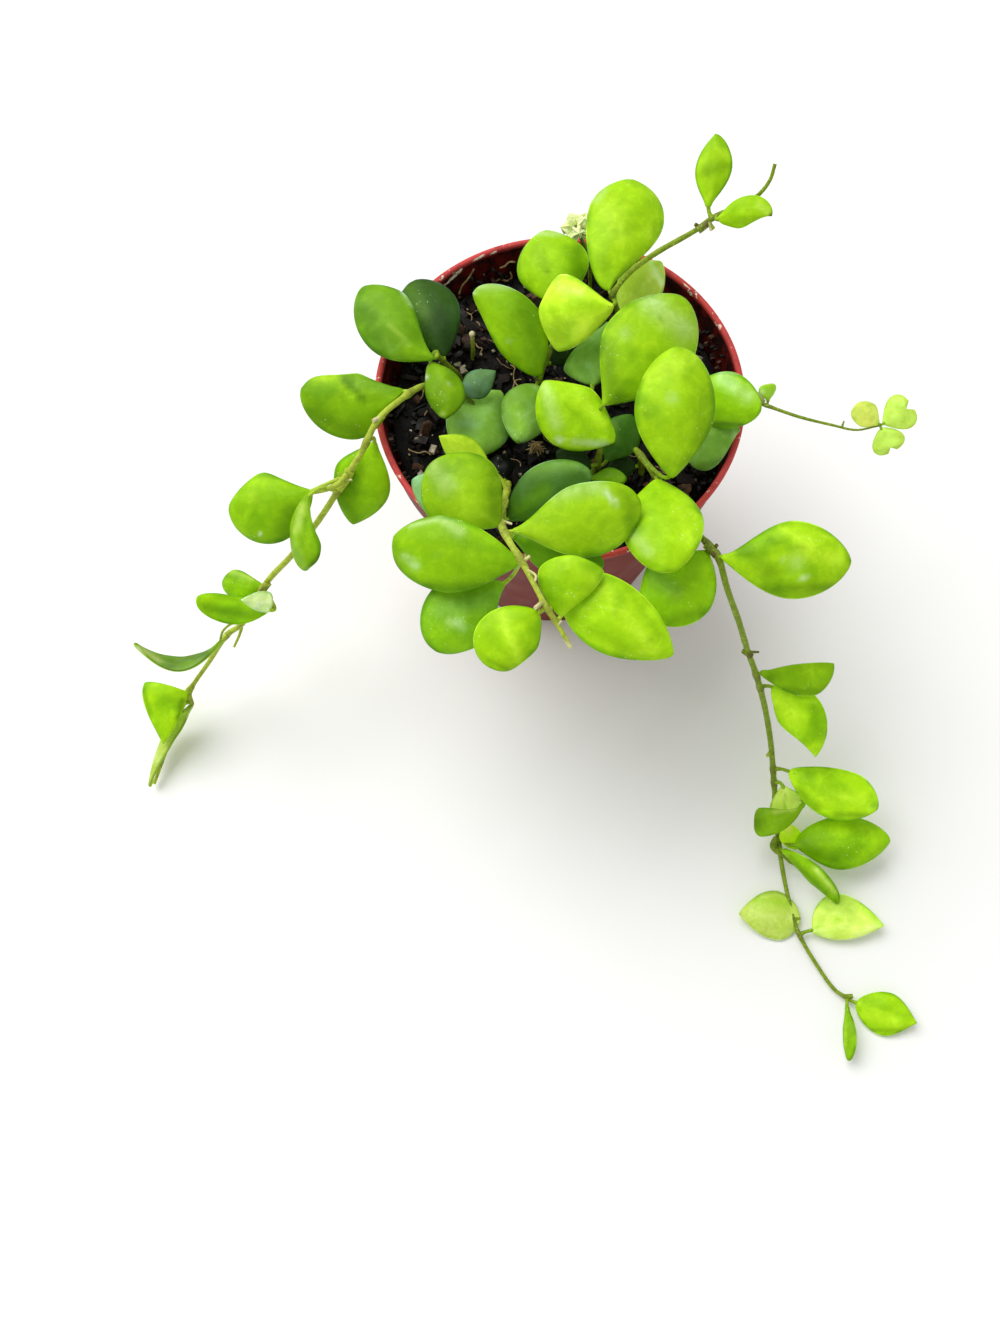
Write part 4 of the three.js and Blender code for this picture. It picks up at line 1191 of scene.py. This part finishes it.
def shared_finish(name, make, settings):
    """A finish that several pieces share, made the first time that it is asked for."""
    return bpy.data.materials.get(name) or make(settings)


# Leaves and stems


def leaf_tones(plant, bloom):
    """Every colour of the leaves and stems, by its name."""
    names = [name for name in LeafSettings.__annotations__ if name != "thickness"]
    tones = {name: np.array(getattr(plant, name)) for name in names}
    tones["clover"] = np.array(bloom.clover)
    return tones


def leaf_form(spec):
    """A leaf's own frame, as functions of the share of its length."""
    base = seen(spec["from"])
    chord = seen(spec["to"]) - base
    long = chord.length
    chord.normalize()
    face = EYE - base
    face = (face - chord * face.dot(chord)).normalized()
    face = Matrix.Rotation(math.radians(spec.get("roll", 0)), 3, chord) @ face
    rise = face * (spec.get("bend", 0) * long) + face.cross(chord) * (spec.get("sway", 0) * long)
    outline = [spec.get(key, usual) for key, usual in OUTLINE]
    sides = [[value[side] if isinstance(value, tuple) else value for value in outline] for side in (0, 1)]

    def place(s):
        return base + chord * (s * long) + rise * (4 * s * (1 - s))

    def frame_at(s):
        along = (chord * long + rise * (4 - 8 * s)).normalized()
        over = (face - along * face.dot(along)).normalized()
        return along, over, over.cross(along)

    def half(s, side):
        """How far the blade reaches to its left or right, seen from its base to its tip."""
        wide, peak, neck, tip = sides[side]
        share = s / peak if s < peak else (1 - s) / (1 - peak)
        return wide * MM / 2 * max(0, math.sin(math.pi / 2 * share)) ** (neck if s < peak else tip)

    return long, place, frame_at, half


def leaf_blank():
    """The ball that every leaf is shaped from, with its poles at the leaf's base and tip."""
    drop_selection()
    bpy.ops.mesh.primitive_uv_sphere_add(segments=LEAF_CORNERS, ring_count=LEAF_RINGS, radius=1)
    return named("leaf_blank")


def shape_leaf(blank, spec, thickness, tones, seed):
    """A copy of the blank in the shape and colours of one leaf."""
    mesh = blank.data.copy()
    long, place, frame_at, half = leaf_form(spec)
    thick = thickness * spec.get("thin", 1)
    cup, fold, notch, rib = [spec.get(key, usual) for key, usual in FACE]
    drift = Vector((seed * 7.3, seed * 3.1, seed * 5.7))
    shaped, colours, marks = [], [], []
    for x, y, z in places_of(mesh).tolist():
        s = (z + 1) / 2
        ring = math.hypot(x, y)
        u, v = (x / ring, y / ring) if ring > 1e-5 else (0.0, 0.0)
        near_end = min(1.0, min(s, 1 - s) * long / END_ROUND)
        rounding = math.sqrt(near_end * (2 - near_end))
        to_left = smooth_step((u + 1) / 2)
        side_half = half(s, 0) * to_left + half(s, 1) * (1 - to_left)
        broad = math.hypot(side_half, BASE_HALF * rounding * (1 - smooth_step(s / 0.2)))
        across = u * broad
        lift = math.copysign(abs(v) ** EDGE_ROUND, v) * thick / 2 * rounding * (1 - 0.3 * u * u)
        ribbed = math.exp(-((across / RIB_HALF) ** 2)) * (1 - smooth_step((s - 0.55) / 0.4)) * rib
        lift -= ribbed * RIB_DEPTH * (1 if v > 0 else 1.6)
        lift -= broad * (cup * u * u + fold * (math.sqrt(u * u + 0.012) - 0.1))
        lift += noise.noise(Vector((u * 1.6, s * 3.2, 0)) + drift) * WAVE * min(1, broad / (4 * MM))
        lift += noise.noise(Vector((u * 4, s * 8, 9)) + drift) * RIPPLE
        along, over, left = frame_at(s)
        drawn_in = notch * long * (1 - abs(u)) * max(0, (s - 0.55) / 0.45) ** 2
        shaped.append(place(s) + left * across + over * lift - along * drawn_in)
        colours.append(tones[spec["tone"]] * (1 + 0.1 * noise.noise(Vector((u, s * 2.5, 4)) + drift)))
        # How near the rim each corner is, reaching round the tip: where the finish paints the rim's shade and
        # pale line
        rim = max(abs(u), 1 - (1 - s) * long / TIP_RIM)
        marks.append((rim, ribbed, 1.0 if v < -0.05 else 0.0))
    spots, colours = in_photo(np.array(shaped)), np.array(colours)
    # The marks: mostly painted light and painted shade over the leaf's tone, with a few brown spots and white
    # specks of its own
    for mark in spec["marks"]:
        share = share_of(mark, spots)[:, None]
        colours = colours * (1 - share) + tones[mark[0]] * share
    put_places(mesh, shaped)
    paint(mesh, "leaf_colour", np.clip(colours * spec.get("lit", 1), 0, 1))
    mark_out(mesh, "leaf_place", marks)
    return placed("leaf", mesh)


def tube(name, places, radii, colours, attribute="stem_colour"):
    """A round tube along these places, with a radius and a colour at each."""
    drop_selection()
    bpy.ops.curve.primitive_nurbs_path_add()
    path = bpy.context.object.data
    path.splines.clear()
    line = path.splines.new("POLY")
    line.points.add(len(places) - 1)
    for point, place, radius in zip(line.points, places, radii):
        point.co = (*place, 1)
        point.radius = radius / MM
    path.dimensions = "3D"
    path.bevel_depth = MM
    path.bevel_resolution = 2
    path.use_fill_caps = True
    bpy.ops.object.convert(target="MESH")
    piece = named(name)
    weld(piece)
    rows = places_of(piece.data)
    spots = np.array([tuple(place) for place in places])
    nearest = ((rows[:, None] - spots[None]) ** 2).sum(2).argmin(1)
    paint(piece.data, attribute, np.array(colours)[nearest])
    return piece


def even_tube(name, places, radius, shade, attribute="stem_colour"):
    """A tube of one radius and colour."""
    return tube(name, places, [radius] * len(places), [shade] * len(places), attribute)


def stem_places(spec, spacing):
    """The line of a stem: straight up out of its hole, then along the places that it passes."""
    foot = seen((*spec["root"], SOIL_LEVEL / MM))
    heights = (SOIL_LEVEL - ROOT_DEPTH, SOIL_LEVEL - ROOT_DEPTH / 2, SOIL_LEVEL + MM)
    rooted = [Vector((foot.x, foot.y, height)) for height in heights]
    return smooth_path(rooted + [seen(place) for place in spec["stem"]], spacing)


def leaf_stalk(item, places, radius, from_tone, to_tone):
    """The stalk that bends from the nearest part of the stem into a leaf, and where it leaves the stem."""
    _, place, frame_at, _ = leaf_form(item)
    base = place(0)
    wanted = seen(item["at"]) if "at" in item else base
    on_stem = min(places, key=lambda p: (p - wanted).length)
    reach = min(STALK_BEND, (on_stem - base).length / 2)
    bend_at = base - frame_at(0)[0] * reach
    end = place(0.08)
    shares = np.linspace(0, 1, STALK_POINTS).tolist()
    line = [on_stem * (1 - t) ** 2 + bend_at * (2 * t * (1 - t)) + end * t**2 for t in shares]
    slim = min(STALK_RADIUS, radius)
    radii = [slim * (1.25 - 0.45 * smooth_step(t * 2.2) + 0.25 * smooth_step(t * 3 - 1.9)) for t in shares]
    mixed = [from_tone * (1 - 0.6 * t) + to_tone * 0.6 * t for t in shares]
    return tube("stalk", line, radii, mixed), on_stem


def side_growth(item, from_tone, to_tone):
    """A stump, root tip or strand on the stem, thinner towards its end."""
    line = smooth_path([seen(place) for place in item["places"]], 0.6 * MM)
    shares = np.linspace(0, 1, len(line))
    sizes = [item["thick"] / 2 * MM * (1.1 - 0.3 * t) for t in shares]
    shades = [from_tone * (1 - t) + to_tone * t for t in 0.2 + 0.8 * shares]
    return tube("spur", line, sizes, shades)


def shoot_stem(name, spec, tones):
    """The stem of a shoot with its nodes, the stalks of its leaves and its spurs."""
    places = stem_places(spec, 1.2 * MM)
    radius = spec["thick"] / 2 * MM
    green, cork = tones[spec["stem_tone"]], tones["brown_node"]
    grown = [leaf_stalk(item, places, radius, green, tones["fresh"]) for item in spec["leaves"]]
    stalks, joints = zip(*grown)
    radii, colours = [], []
    for i, p in enumerate(places):
        near = min((p - joint).length for joint in joints)
        swell = math.exp(-((near / NODE_REACH) ** 2))
        taper = 1 - 0.35 * smooth_step((i / len(places) - 0.55) / 0.45)
        wobble = 1 + 0.08 * noise.noise(p * 300)
        radii.append(radius * taper * wobble * (1 + 0.32 * swell))
        colours.append(green * (1 - 0.45 * swell) + cork * 0.45 * swell)
    stems = [tube("stem", places, radii, colours)]
    stems += [side_growth(item, green, tones[item["tone"]]) for item in spec["spurs"]]
    return join(name + "_stem", [*stems, *stalks])


def model_stub(plant):
    """A stem that ends in a cut, swollen and pale."""
    places = stem_places(STUB, 0.25 * MM)
    green, cut = np.array(getattr(plant, STUB["stem_tone"])), np.array(plant.cut_end)
    radii, colours = [], []
    for place in places:
        gap = (places[-1] - place).length
        ball = math.sqrt(max(0, STUB_CAP**2 - (STUB_CAP - gap) ** 2))
        stalk = STUB["thick"] / 2 * MM * (1 + 0.12 * noise.noise(place * 500)) if gap > STUB_CAP else 0
        radii.append(max(stalk, ball, 0.1 * MM))
        share = 1 - smooth_step((gap / MM - 1.2) / 2.0)
        colours.append(green * (1 - share) + cut * share)
    return tube("stem_stub_cut", places, radii, colours)


# The pot


def arc(centre, radius, start, end, steps):
    """Points of (radius, height) on an arc, with its angles in degrees."""
    angles = [math.radians(start + (end - start) * i / steps) for i in range(steps + 1)]
    return [(centre[0] + radius * math.cos(a), centre[1] + radius * math.sin(a)) for a in angles]


def pot_profile(settings):
    """The pot's section, from the edge of its foot over the bead to the middle of its floor inside."""
    bead, wall, foot = settings.rim_bead, settings.wall, settings.foot_radius
    band_foot = POT_HEIGHT - settings.band_height
    band_low = band_foot + 0.9 * MM
    body_top = RIM_RADIUS - bead - 3.2 * MM
    band_out = body_top + 2 * MM
    lean = (body_top - foot) / (band_foot - FOOT_ROUND)
    rises = np.linspace(0, band_foot - 2.6 * MM, 14).tolist()
    points = [(foot + lean * z, FOOT_ROUND + z) for z in rises]
    points += [
        (body_top + 0.1 * MM, band_foot - 0.5 * MM),
        (body_top + 0.5 * MM, band_foot),
        (band_out - 0.3 * MM, band_foot + 0.35 * MM),
        (band_out, band_low),
    ]
    flare = (RIM_RADIUS - 1.0 * MM - band_out) / (settings.band_height - 3.5 * MM)
    rises = np.linspace(2 * MM, 13 * MM, 5).tolist()
    points += [(band_out + flare * z, band_low + z) for z in rises]
    points += [(RIM_RADIUS - 0.3 * MM, POT_HEIGHT - 1.9 * MM)]
    points += arc((RIM_RADIUS - 0.6 * MM, POT_HEIGHT - 1.0 * MM), 0.6 * MM, -40, 0, 3)
    points += arc((RIM_RADIUS - 0.9 * MM, POT_HEIGHT - 0.9 * MM), 0.9 * MM, 0, 150, 8)[1:]
    inner, bead_foot = RIM_RADIUS - bead * 1.3, POT_HEIGHT - bead
    points += [(inner, bead_foot)]
    band_in, band_depth = band_out - wall, settings.band_height - 3.2 * MM
    shares = np.linspace(0.05, 1, 20).tolist()
    points += [(inner + (band_in - inner) * t, bead_foot - band_depth * t) for t in shares]
    points += [(band_in - 0.5 * MM, band_low), (body_top - wall, band_foot + 0.4 * MM)]
    drops = np.linspace(3 * MM, band_foot - 3.6 * MM, 8).tolist()
    points += [(body_top - wall - lean * z, band_foot - z) for z in drops]
    return points + [(foot - wall - 1 * MM, POT_FLOOR), (foot * 0.5, POT_FLOOR)]


def model_pot(settings):
    """A disc that is drawn up ring by ring along the pot's section, with its drain holes cut out."""
    drop_selection()
    radius, height = settings.foot_radius - FOOT_ROUND, 0.2 * MM
    middle = (0, 0, height / 2)
    bpy.ops.mesh.primitive_cylinder_add(vertices=POT_CORNERS, radius=radius, depth=height, location=middle)
    piece = named("pot_shell")
    apply_place(piece)
    edit_top(piece)
    corner = arc((radius, FOOT_ROUND), FOOT_ROUND, -70, -10, 4)
    for next_radius, next_height in corner + pot_profile(settings):
        draw_up(next_height - height, next_radius / radius)
        radius, height = next_radius, next_height
    bpy.ops.object.mode_set(mode="OBJECT")
    for i in range(settings.drain_holes):
        angle = math.tau * i / settings.drain_holes
        at = (settings.drain_circle * math.cos(angle), settings.drain_circle * math.sin(angle), 0)
        drop_selection()
        bpy.ops.mesh.primitive_cylinder_add(
            vertices=32, radius=settings.drain_radius, depth=8 * MM, location=at
        )
        cutter = named("drain_cutter")
        take(piece)
        modifier = piece.modifiers.new("drain", "BOOLEAN")
        modifier.operation = "DIFFERENCE"
        modifier.object = cutter
        bpy.ops.object.modifier_apply(modifier=modifier.name)
        bpy.data.objects.remove(cutter)
    weld(piece)
    return piece


def wear_pot(piece):
    """Marks the bead, paler for wear and a painted highlight, the dried crust, and the inside of the wall,
    which is painted in shade, for the finish.
    """
    rows = places_of(piece.data)
    out = np.hypot(rows[:, 0], rows[:, 1])
    normals = np.array([tuple(vertex.normal) for vertex in piece.data.vertices])
    outward = (normals[:, 0] * rows[:, 0] + normals[:, 1] * rows[:, 1]) / np.maximum(out, MM)
    high = rows[:, 2]
    bead = np.clip((high - POT_HEIGHT + BEAD_WORN_AND_LIT) / (BEAD_WORN_AND_LIT / 2), 0, 1)
    inside = np.clip(-outward * 3, 0, 1) * (high > POT_FLOOR + 0.9 * MM)
    spots = in_photo(rows)
    crust = np.max([share_of(mark, spots) for mark in CRUSTS], axis=0)
    mark_out(piece.data, "pot_wear", np.stack([bead, crust * inside * (rows[:, 1] > 0), inside], 1))


# The potting mix


def heap(x, y):
    """The height of the potting mix over the floor, as its solid has it."""
    broad = math.sin(x / (7.5 * MM) + 1) * math.cos(y / (6.5 * MM))
    narrow = math.sin(x / (4.4 * MM) - y / (5.2 * MM) + 2)
    return SOIL_LEVEL + SOIL_BUMP * (broad + 0.6 * narrow)


def model_bed(settings):
    """The body of the mix: a tapered plug whose top is a fine heaped disc."""
    top, rings = RIM_RADIUS - 4.6 * MM, 30
    drop_selection()
    bpy.ops.mesh.primitive_cone_add(
        vertices=96, radius1=RIM_RADIUS - 21.8 * MM, radius2=top,
        depth=SOIL_LEVEL - MIX_LOW.z, location=(0, 0, (SOIL_LEVEL + MIX_LOW.z) / 2),
    )
    piece = named("potting_mix_bed")
    apply_place(piece)
    edit_top(piece)
    for _ in range(rings - 1):
        bpy.ops.mesh.inset(thickness=top / rings, use_even_offset=False)
    bpy.ops.object.mode_set(mode="OBJECT")
    rows = places_of(piece.data)
    for row in rows:
        x, y, z = row.tolist()
        if z > SOIL_LEVEL - 0.5 * MM:
            crumb = noise.noise(Vector((x, y, 0)) * 420) * 0.7 * MM
            crumb += noise.noise(Vector((x, y, 5)) * 900) * 0.35 * MM
            row[2] = heap(x, y) + crumb - 0.4 * MM
    put_places(piece.data, rows)
    paint(piece.data, "grain_colour", np.array(settings.peat))
    return piece


def chip_blanks(settings):
    """A few bark chips: slabs that are cut up, roughened and rounded."""
    blanks = []
    for k in range(CHIP_KINDS):
        drop_selection()
        bpy.ops.mesh.primitive_cube_add(size=1)
        blanks.append(named(f"chip_blank_{k}"))
        bpy.ops.object.mode_set(mode="EDIT")
        bpy.ops.mesh.select_all(action="SELECT")
        bpy.ops.mesh.subdivide(number_cuts=1)
        bpy.ops.transform.vertex_random(offset=0.26, seed=k + settings.seed)
        bpy.ops.mesh.vertices_smooth(factor=0.35)
        bpy.ops.object.mode_set(mode="OBJECT")
    return blanks


def scatter(name, blanks, grains, material):
    """Copies of the blanks, each with its own place, turn, size and colour, joined in one piece."""
    corners, faces, colours = [], [], []
    for k, (place, turn, size, shade) in enumerate(grains):
        blank = blanks[k % len(blanks)].data
        start = len(corners)
        corners += [place + turn @ (vertex.co * size) for vertex in blank.vertices]
        colours += [shade] * len(blank.vertices)
        faces += [[start + i for i in face.vertices] for face in blank.polygons]
    mesh = bpy.data.meshes.new(name)
    mesh.from_pydata(corners, [], faces)
    mesh.update()
    paint(mesh, "grain_colour", np.array(colours))
    finish_piece(placed(name, mesh), material, "potting_mix", angle=35)


def turned(axis, angle):
    return Matrix.Rotation(angle, 3, axis)


def grain_places(draw, number, reach):
    """Evenly spread random places on the mix, inside the given radius."""
    for _ in range(number):
        out = reach * math.sqrt(draw.random())
        angle = draw.random() * math.tau
        yield out * math.cos(angle), out * math.sin(angle)


def bark_grains(settings, draw):
    """Crumbs of peat, splinters and slabs of bark over them, and crumbs that cling to the far wall."""
    grains = []
    shades = [settings.peat, settings.bark, settings.dry_bark]
    for k, (x, y) in enumerate(grain_places(draw, settings.chips, RIM_RADIUS - 6.5 * MM)):
        crumb = k < settings.chips * CRUMB_SHARE
        size = draw.uniform(0.8, 2.0) * MM if crumb else draw.uniform(2.4, 6.2) * MM
        slim = draw.uniform(0.6, 1.0) if crumb else draw.uniform(0.24, 0.62)
        slab = Vector((size, size * slim, size * slim * draw.uniform(0.35, 0.8)))
        turn = turned("Z", draw.uniform(0, math.tau)) @ turned("Y", draw.gauss(0, 0.35))
        turn = turn @ turned("X", draw.gauss(0, 0.6))
        shade = np.array(draw.choices(shades, (7, 6, 1.6))[0]) * draw.uniform(0.4, 1.3)
        out = CRUMB_SPREAD if crumb else 1
        height = heap(x, y) + slab.z * 0.45 + draw.uniform(-0.3, 0.5) * MM
        grains.append((Vector((x * out, y * out, height)), turn, slab, shade))
    for _ in range(settings.chips // 8):
        angle = draw.uniform(-0.5, math.pi + 0.5)
        rise = abs(draw.gauss(0, 3.4)) * MM
        out = inner_wall(SOIL_LEVEL + rise, 2.6 * MM)
        size = draw.uniform(0.5, 1.8) * MM
        turn = turned("Z", angle) @ turned("X", draw.uniform(0, math.tau))
        place = Vector((out * math.cos(angle), out * math.sin(angle), SOIL_LEVEL + min(rise, 8 * MM)))
        shade = np.array(draw.choices(shades, (4, 4, 3))[0])
        grains.append((place, turn, Vector((size, size * 0.7, size * 0.5)), shade))
    return grains


def white_grains_and_glints(settings, draw):
    """The larger white grains that stand out in the photograph, then small ones all over."""
    grains = []
    places = []
    for at in GRIT_SHOWN:
        place = seen((*at, SOIL_LEVEL / MM + 2))
        places.append(place * min(1, (RIM_RADIUS - 8 * MM) / math.hypot(place.x, place.y)))
    # Small white grains all over: mineral grains, and painted glints that stand for highlights on wet bark
    places += [Vector((x, y, 0)) for x, y in grain_places(draw, settings.grit_and_glints, RIM_RADIUS - 7 * MM)]
    for k, place in enumerate(places):
        size = draw.uniform(1.9, 2.8) * MM if k < len(GRIT_SHOWN) else draw.uniform(0.4, 1.1) * MM
        block = Vector((size, size * draw.uniform(0.6, 0.9), size * draw.uniform(0.5, 0.8)))
        turn = turned("Z", draw.uniform(0, math.tau)) @ turned("X", draw.uniform(0, 1))
        shade = np.array(settings.white_grain_and_glint) * draw.uniform(0.55, 1.0)
        place.z = heap(place.x, place.y) + 1.0 * MM
        grains.append((place, turn, block, shade))
    return grains


def fibre_lines(settings, draw):
    """Dead roots and their radii: some over the mix, some that dried on to the wall, and a tuft."""
    lines = []
    for x, y in grain_places(draw, settings.fibres, RIM_RADIUS - 9 * MM):
        heading = draw.uniform(0, math.tau)
        places = []
        for _ in range(draw.randint(5, 9)):
            places.append(Vector((x, y, heap(x, y) + draw.uniform(0.9, 1.8) * MM)))
            heading += draw.gauss(0, 0.5)
            x += 1.1 * MM * math.cos(heading)
            y += 1.1 * MM * math.sin(heading)
            if math.hypot(x, y) > RIM_RADIUS - 7 * MM:
                break
        if len(places) > 2:
            lines.append((places, draw.uniform(0.09, 0.2) * MM))
    lines += [([on_wall(*at) for at in places], 0.3 * MM) for places in WALL_ROOTS]
    centre = seen(ROOT_TUFT)
    for _ in range(TUFT_ROOTS):
        heading = draw.uniform(0, math.tau)
        reach = draw.uniform(1.2, 3.6) * MM
        across = Vector((math.cos(heading), math.sin(heading) * 0.7, 0)) * reach
        lift = Vector((0, 0, draw.uniform(0.4, 1.4) * MM))
        sag = Vector((draw.gauss(0, 0.5), draw.gauss(0, 0.5), 1.2)) * MM
        lines.append(([centre - across + lift, centre + sag + lift, centre + across + lift], 0.14 * MM))
    return lines


# The bloom


def floret(foot, outward):
    """A closed floret: a small cone with five ridges and a pointed tip."""
    size = FLORET_LENGTH
    drop_selection()
    bpy.ops.mesh.primitive_cone_add(vertices=20, radius1=size * 0.3, radius2=size * 0.5, depth=size * 0.5)
    piece = named("floret")
    edit_top(piece)
    for rise, share in ((0.16, 0.78), (0.2, 0.5), (0.22, 0.12)):
        draw_up(rise * size, share)
    bpy.ops.object.mode_set(mode="OBJECT")
    turn = outward.to_track_quat("Z", "Y").to_matrix()
    rows = []
    for x, y, z in places_of(piece.data).tolist():
        ridge = 1 + 0.3 * math.cos(5 * math.atan2(y, x))
        rows.append(foot + turn @ Vector((x * ridge, y * ridge, z)))
    put_places(piece.data, rows)
    return piece


# Operators


class WAXVINE_OT_add_stage(bpy.types.Operator):
    """Add the pale floor, the soft light and the camera"""

    bl_idname = "waxvine.add_stage"
    bl_label = "Add the stage"

    def execute(self, context):
        scene = context.scene
        settings = scene.waxvine_stage
        drop_selection()
        bpy.ops.mesh.primitive_plane_add(size=FLOOR_SIDE)
        floor = named("floor")
        floor.data.materials.append(floor_finish(settings))
        world = bpy.data.worlds.new("soft sky")
        world.use_nodes = True
        background = world.node_tree.nodes["Background"]
        background.inputs["Color"].default_value = (1, 1, 1, 1)
        background.inputs["Strength"].default_value = settings.sky
        scene.world = world
        drop_selection()
        bpy.ops.object.light_add(type="AREA", location=WINDOW_PLACE)
        window = named("window")
        window.data.size = WINDOW_SIDE
        window.data.energy = settings.window
        aim = Vector((0, 0, POT_HEIGHT)) - window.location
        window.rotation_euler = aim.to_track_quat("-Z", "Y").to_euler()
        drop_selection()
        bpy.ops.object.camera_add(location=EYE)
        camera = named("camera")
        camera.rotation_mode = "QUATERNION"
        camera.rotation_quaternion = Matrix((RIGHT, UP, -AHEAD)).transposed().to_quaternion()
        camera.data.sensor_width = SENSOR
        camera.data.lens = SIGHT / PHOTO_TALL * SENSOR
        camera.data.clip_start = 0.01
        scene.camera = camera
        scene.view_settings.view_transform = "Standard"
        return {"FINISHED"}


class WAXVINE_OT_add_pot(bpy.types.Operator):
    """Model the nursery pot with its bead, band and drain holes"""

    bl_idname = "waxvine.add_pot"
    bl_label = "Add the pot"

    def execute(self, context):
        settings = context.scene.waxvine_pot
        piece = model_pot(settings)
        wear_pot(piece)
        finish_piece(piece, pot_finish(settings), "pot_plastic", "pot", angle=32)
        return {"FINISHED"}


class WAXVINE_OT_add_potting_mix(bpy.types.Operator):
    """Fill the pot with peat, bark chips, white grit and root fibres"""

    bl_idname = "waxvine.add_potting_mix"
    bl_label = "Add the potting mix"

    # Fill the pot with peat, bark chips, white grains and root fibres; the small white grains also stand in
    # as painted glints
    def execute(self, context):
        settings = context.scene.waxvine_mix
        draw = random.Random(settings.seed)
        bed = model_bed(settings)
        finish_piece(bed, mix_finish("damp peat", 0.95, 0.5 * MM), "potting_mix", "potting_mix", angle=180)
        blanks = chip_blanks(settings)
        scatter("potting_mix_chips", blanks, bark_grains(settings, draw), mix_finish("bark", 0.68, 0.25 * MM))
        scatter("potting_mix_white_bits_and_glints", blanks, white_grains_and_glints(settings, draw), mix_finish("grit_and_glints", 0.9, 0.2 * MM))
        for blank in blanks:
            bpy.data.objects.remove(blank)
        tubes = []
        for places, radius in fibre_lines(settings, draw):
            shade = np.array(settings.fibre) * draw.uniform(0.5, 1.0)
            tubes.append(even_tube("fibre", smooth_path(places, 0.7 * MM), radius, shade, "grain_colour"))
        fibres = join("potting_mix_fibres", tubes)
        finish_piece(fibres, mix_finish("root fibre", 0.85, 0.1 * MM), "potting_mix")
        return {"FINISHED"}


class WAXVINE_OT_add_shoot(bpy.types.Operator):
    """Model one shoot: its stem with nodes and stalks, and its leaves"""

    bl_idname = "waxvine.add_shoot"
    bl_label = "Add a shoot"

    shoot: StringProperty(name="Shoot", description="Which shoot of the plant", default="shoot_front")

    def execute(self, context):
        plant, bloom = context.scene.waxvine_leaf, context.scene.waxvine_bloom
        spec = SHOOTS[self.shoot]
        tones = leaf_tones(plant, bloom)
        slot = SLOTS.get(self.shoot, "green_leaf")
        stems = shoot_stem(self.shoot, spec, tones)
        finish_piece(stems, shared_finish("green stem", stem_finish, plant), slot, self.shoot, angle=60)
        blank = leaf_blank()
        first = 100 * list(SHOOTS).index(self.shoot)
        leaves = []
        for k, item in enumerate(spec["leaves"]):
            leaves.append(shape_leaf(blank, item, plant.thickness, tones, first + k))
        bpy.data.objects.remove(blank)
        blades = join(self.shoot + "_leaves", leaves)
        if self.shoot == "clover":
            material = clover_finish(plant, bloom)
        else:
            material = shared_finish("waxy leaf", leaf_finish, plant)
        finish_piece(blades, material, slot, self.shoot, angle=180)
        return {"FINISHED"}


class WAXVINE_OT_add_stub(bpy.types.Operator):
    """Model the cut stem with its pale end"""

    bl_idname = "waxvine.add_stub"
    bl_label = "Add the cut stem"

    def execute(self, context):
        plant = context.scene.waxvine_leaf
        piece = model_stub(plant)
        finish_piece(piece, shared_finish("green stem", stem_finish, plant), "cut_stem", "stem_stub")
        return {"FINISHED"}


class WAXVINE_OT_add_bloom(bpy.types.Operator):
    """Model the spent bloom: closed florets round the head of their stalk"""

    bl_idname = "waxvine.add_bloom"
    bl_label = "Add the bloom"

    def execute(self, context):
        plant, settings = context.scene.waxvine_leaf, context.scene.waxvine_bloom
        places = stem_places(BLOOM, 1.0 * MM)
        grey, pale = np.array(getattr(plant, BLOOM["stem_tone"])) * 0.8, np.array(plant.cut_end)
        stalks = [even_tube("stalk", places, BLOOM["thick"] / 2 * MM, grey)]
        head = places[-1]
        florets = []
        for i in range(settings.florets):
            turn = i * GOLDEN_TURN
            height = 1 - 1.25 * (i + 0.5) / settings.florets
            spread = math.sqrt(1 - height * height)
            outward = Vector((spread * math.cos(turn), spread * math.sin(turn), height))
            centre = head + outward * UMBEL_RADIUS
            florets.append(floret(centre - outward * 0.9 * MM, outward))
            stalks.append(even_tube("stalk", [head.lerp(centre, t) for t in (0, 0.5, 0.8)], 0.4 * MM, pale))
        stems = join("bloom_stalks", stalks)
        finish_piece(stems, shared_finish("green stem", stem_finish, plant), "dry_flower", "bloom")
        petals = join("bloom_florets", florets)
        finish_piece(petals, petal_finish(settings), "dry_flower", "bloom", angle=40)
        return {"FINISHED"}


class WAXVINE_PT_panel(bpy.types.Panel):
    """Lists the pieces of the potted vine"""

    bl_label = "Wax Vine"
    bl_idname = "WAXVINE_PT_panel"
    bl_space_type = "VIEW_3D"
    bl_region_type = "UI"
    bl_category = "Wax Vine"

    def draw(self, context):
        column = self.layout.column()
        for step in STEPS:
            column.operator(step.bl_idname)


STEPS = (
    WAXVINE_OT_add_stage,
    WAXVINE_OT_add_pot,
    WAXVINE_OT_add_potting_mix,
    WAXVINE_OT_add_shoot,
    WAXVINE_OT_add_stub,
    WAXVINE_OT_add_bloom,
)
SETTINGS = {
    "waxvine_pot": PotSettings,
    "waxvine_mix": MixSettings,
    "waxvine_leaf": LeafSettings,
    "waxvine_bloom": BloomSettings,
    "waxvine_stage": StageSettings,
}


def register():
    for name, group in SETTINGS.items():
        bpy.utils.register_class(group)
        setattr(bpy.types.Scene, name, PointerProperty(type=group))
    for step in STEPS:
        bpy.utils.register_class(step)
    bpy.utils.register_class(WAXVINE_PT_panel)


def unregister():
    bpy.utils.unregister_class(WAXVINE_PT_panel)
    for step in reversed(STEPS):
        bpy.utils.unregister_class(step)
    for name, group in SETTINGS.items():
        delattr(bpy.types.Scene, name)
        bpy.utils.unregister_class(group)


def main():
    register()
    drop_selection()
    bpy.ops.waxvine.add_stage()
    bpy.ops.waxvine.add_pot()
    bpy.ops.waxvine.add_potting_mix()
    for shoot_name in SHOOTS:
        bpy.ops.waxvine.add_shoot(shoot=shoot_name)
    bpy.ops.waxvine.add_stub()
    bpy.ops.waxvine.add_bloom()
    drop_selection()


if __name__ == "__main__":
    main()
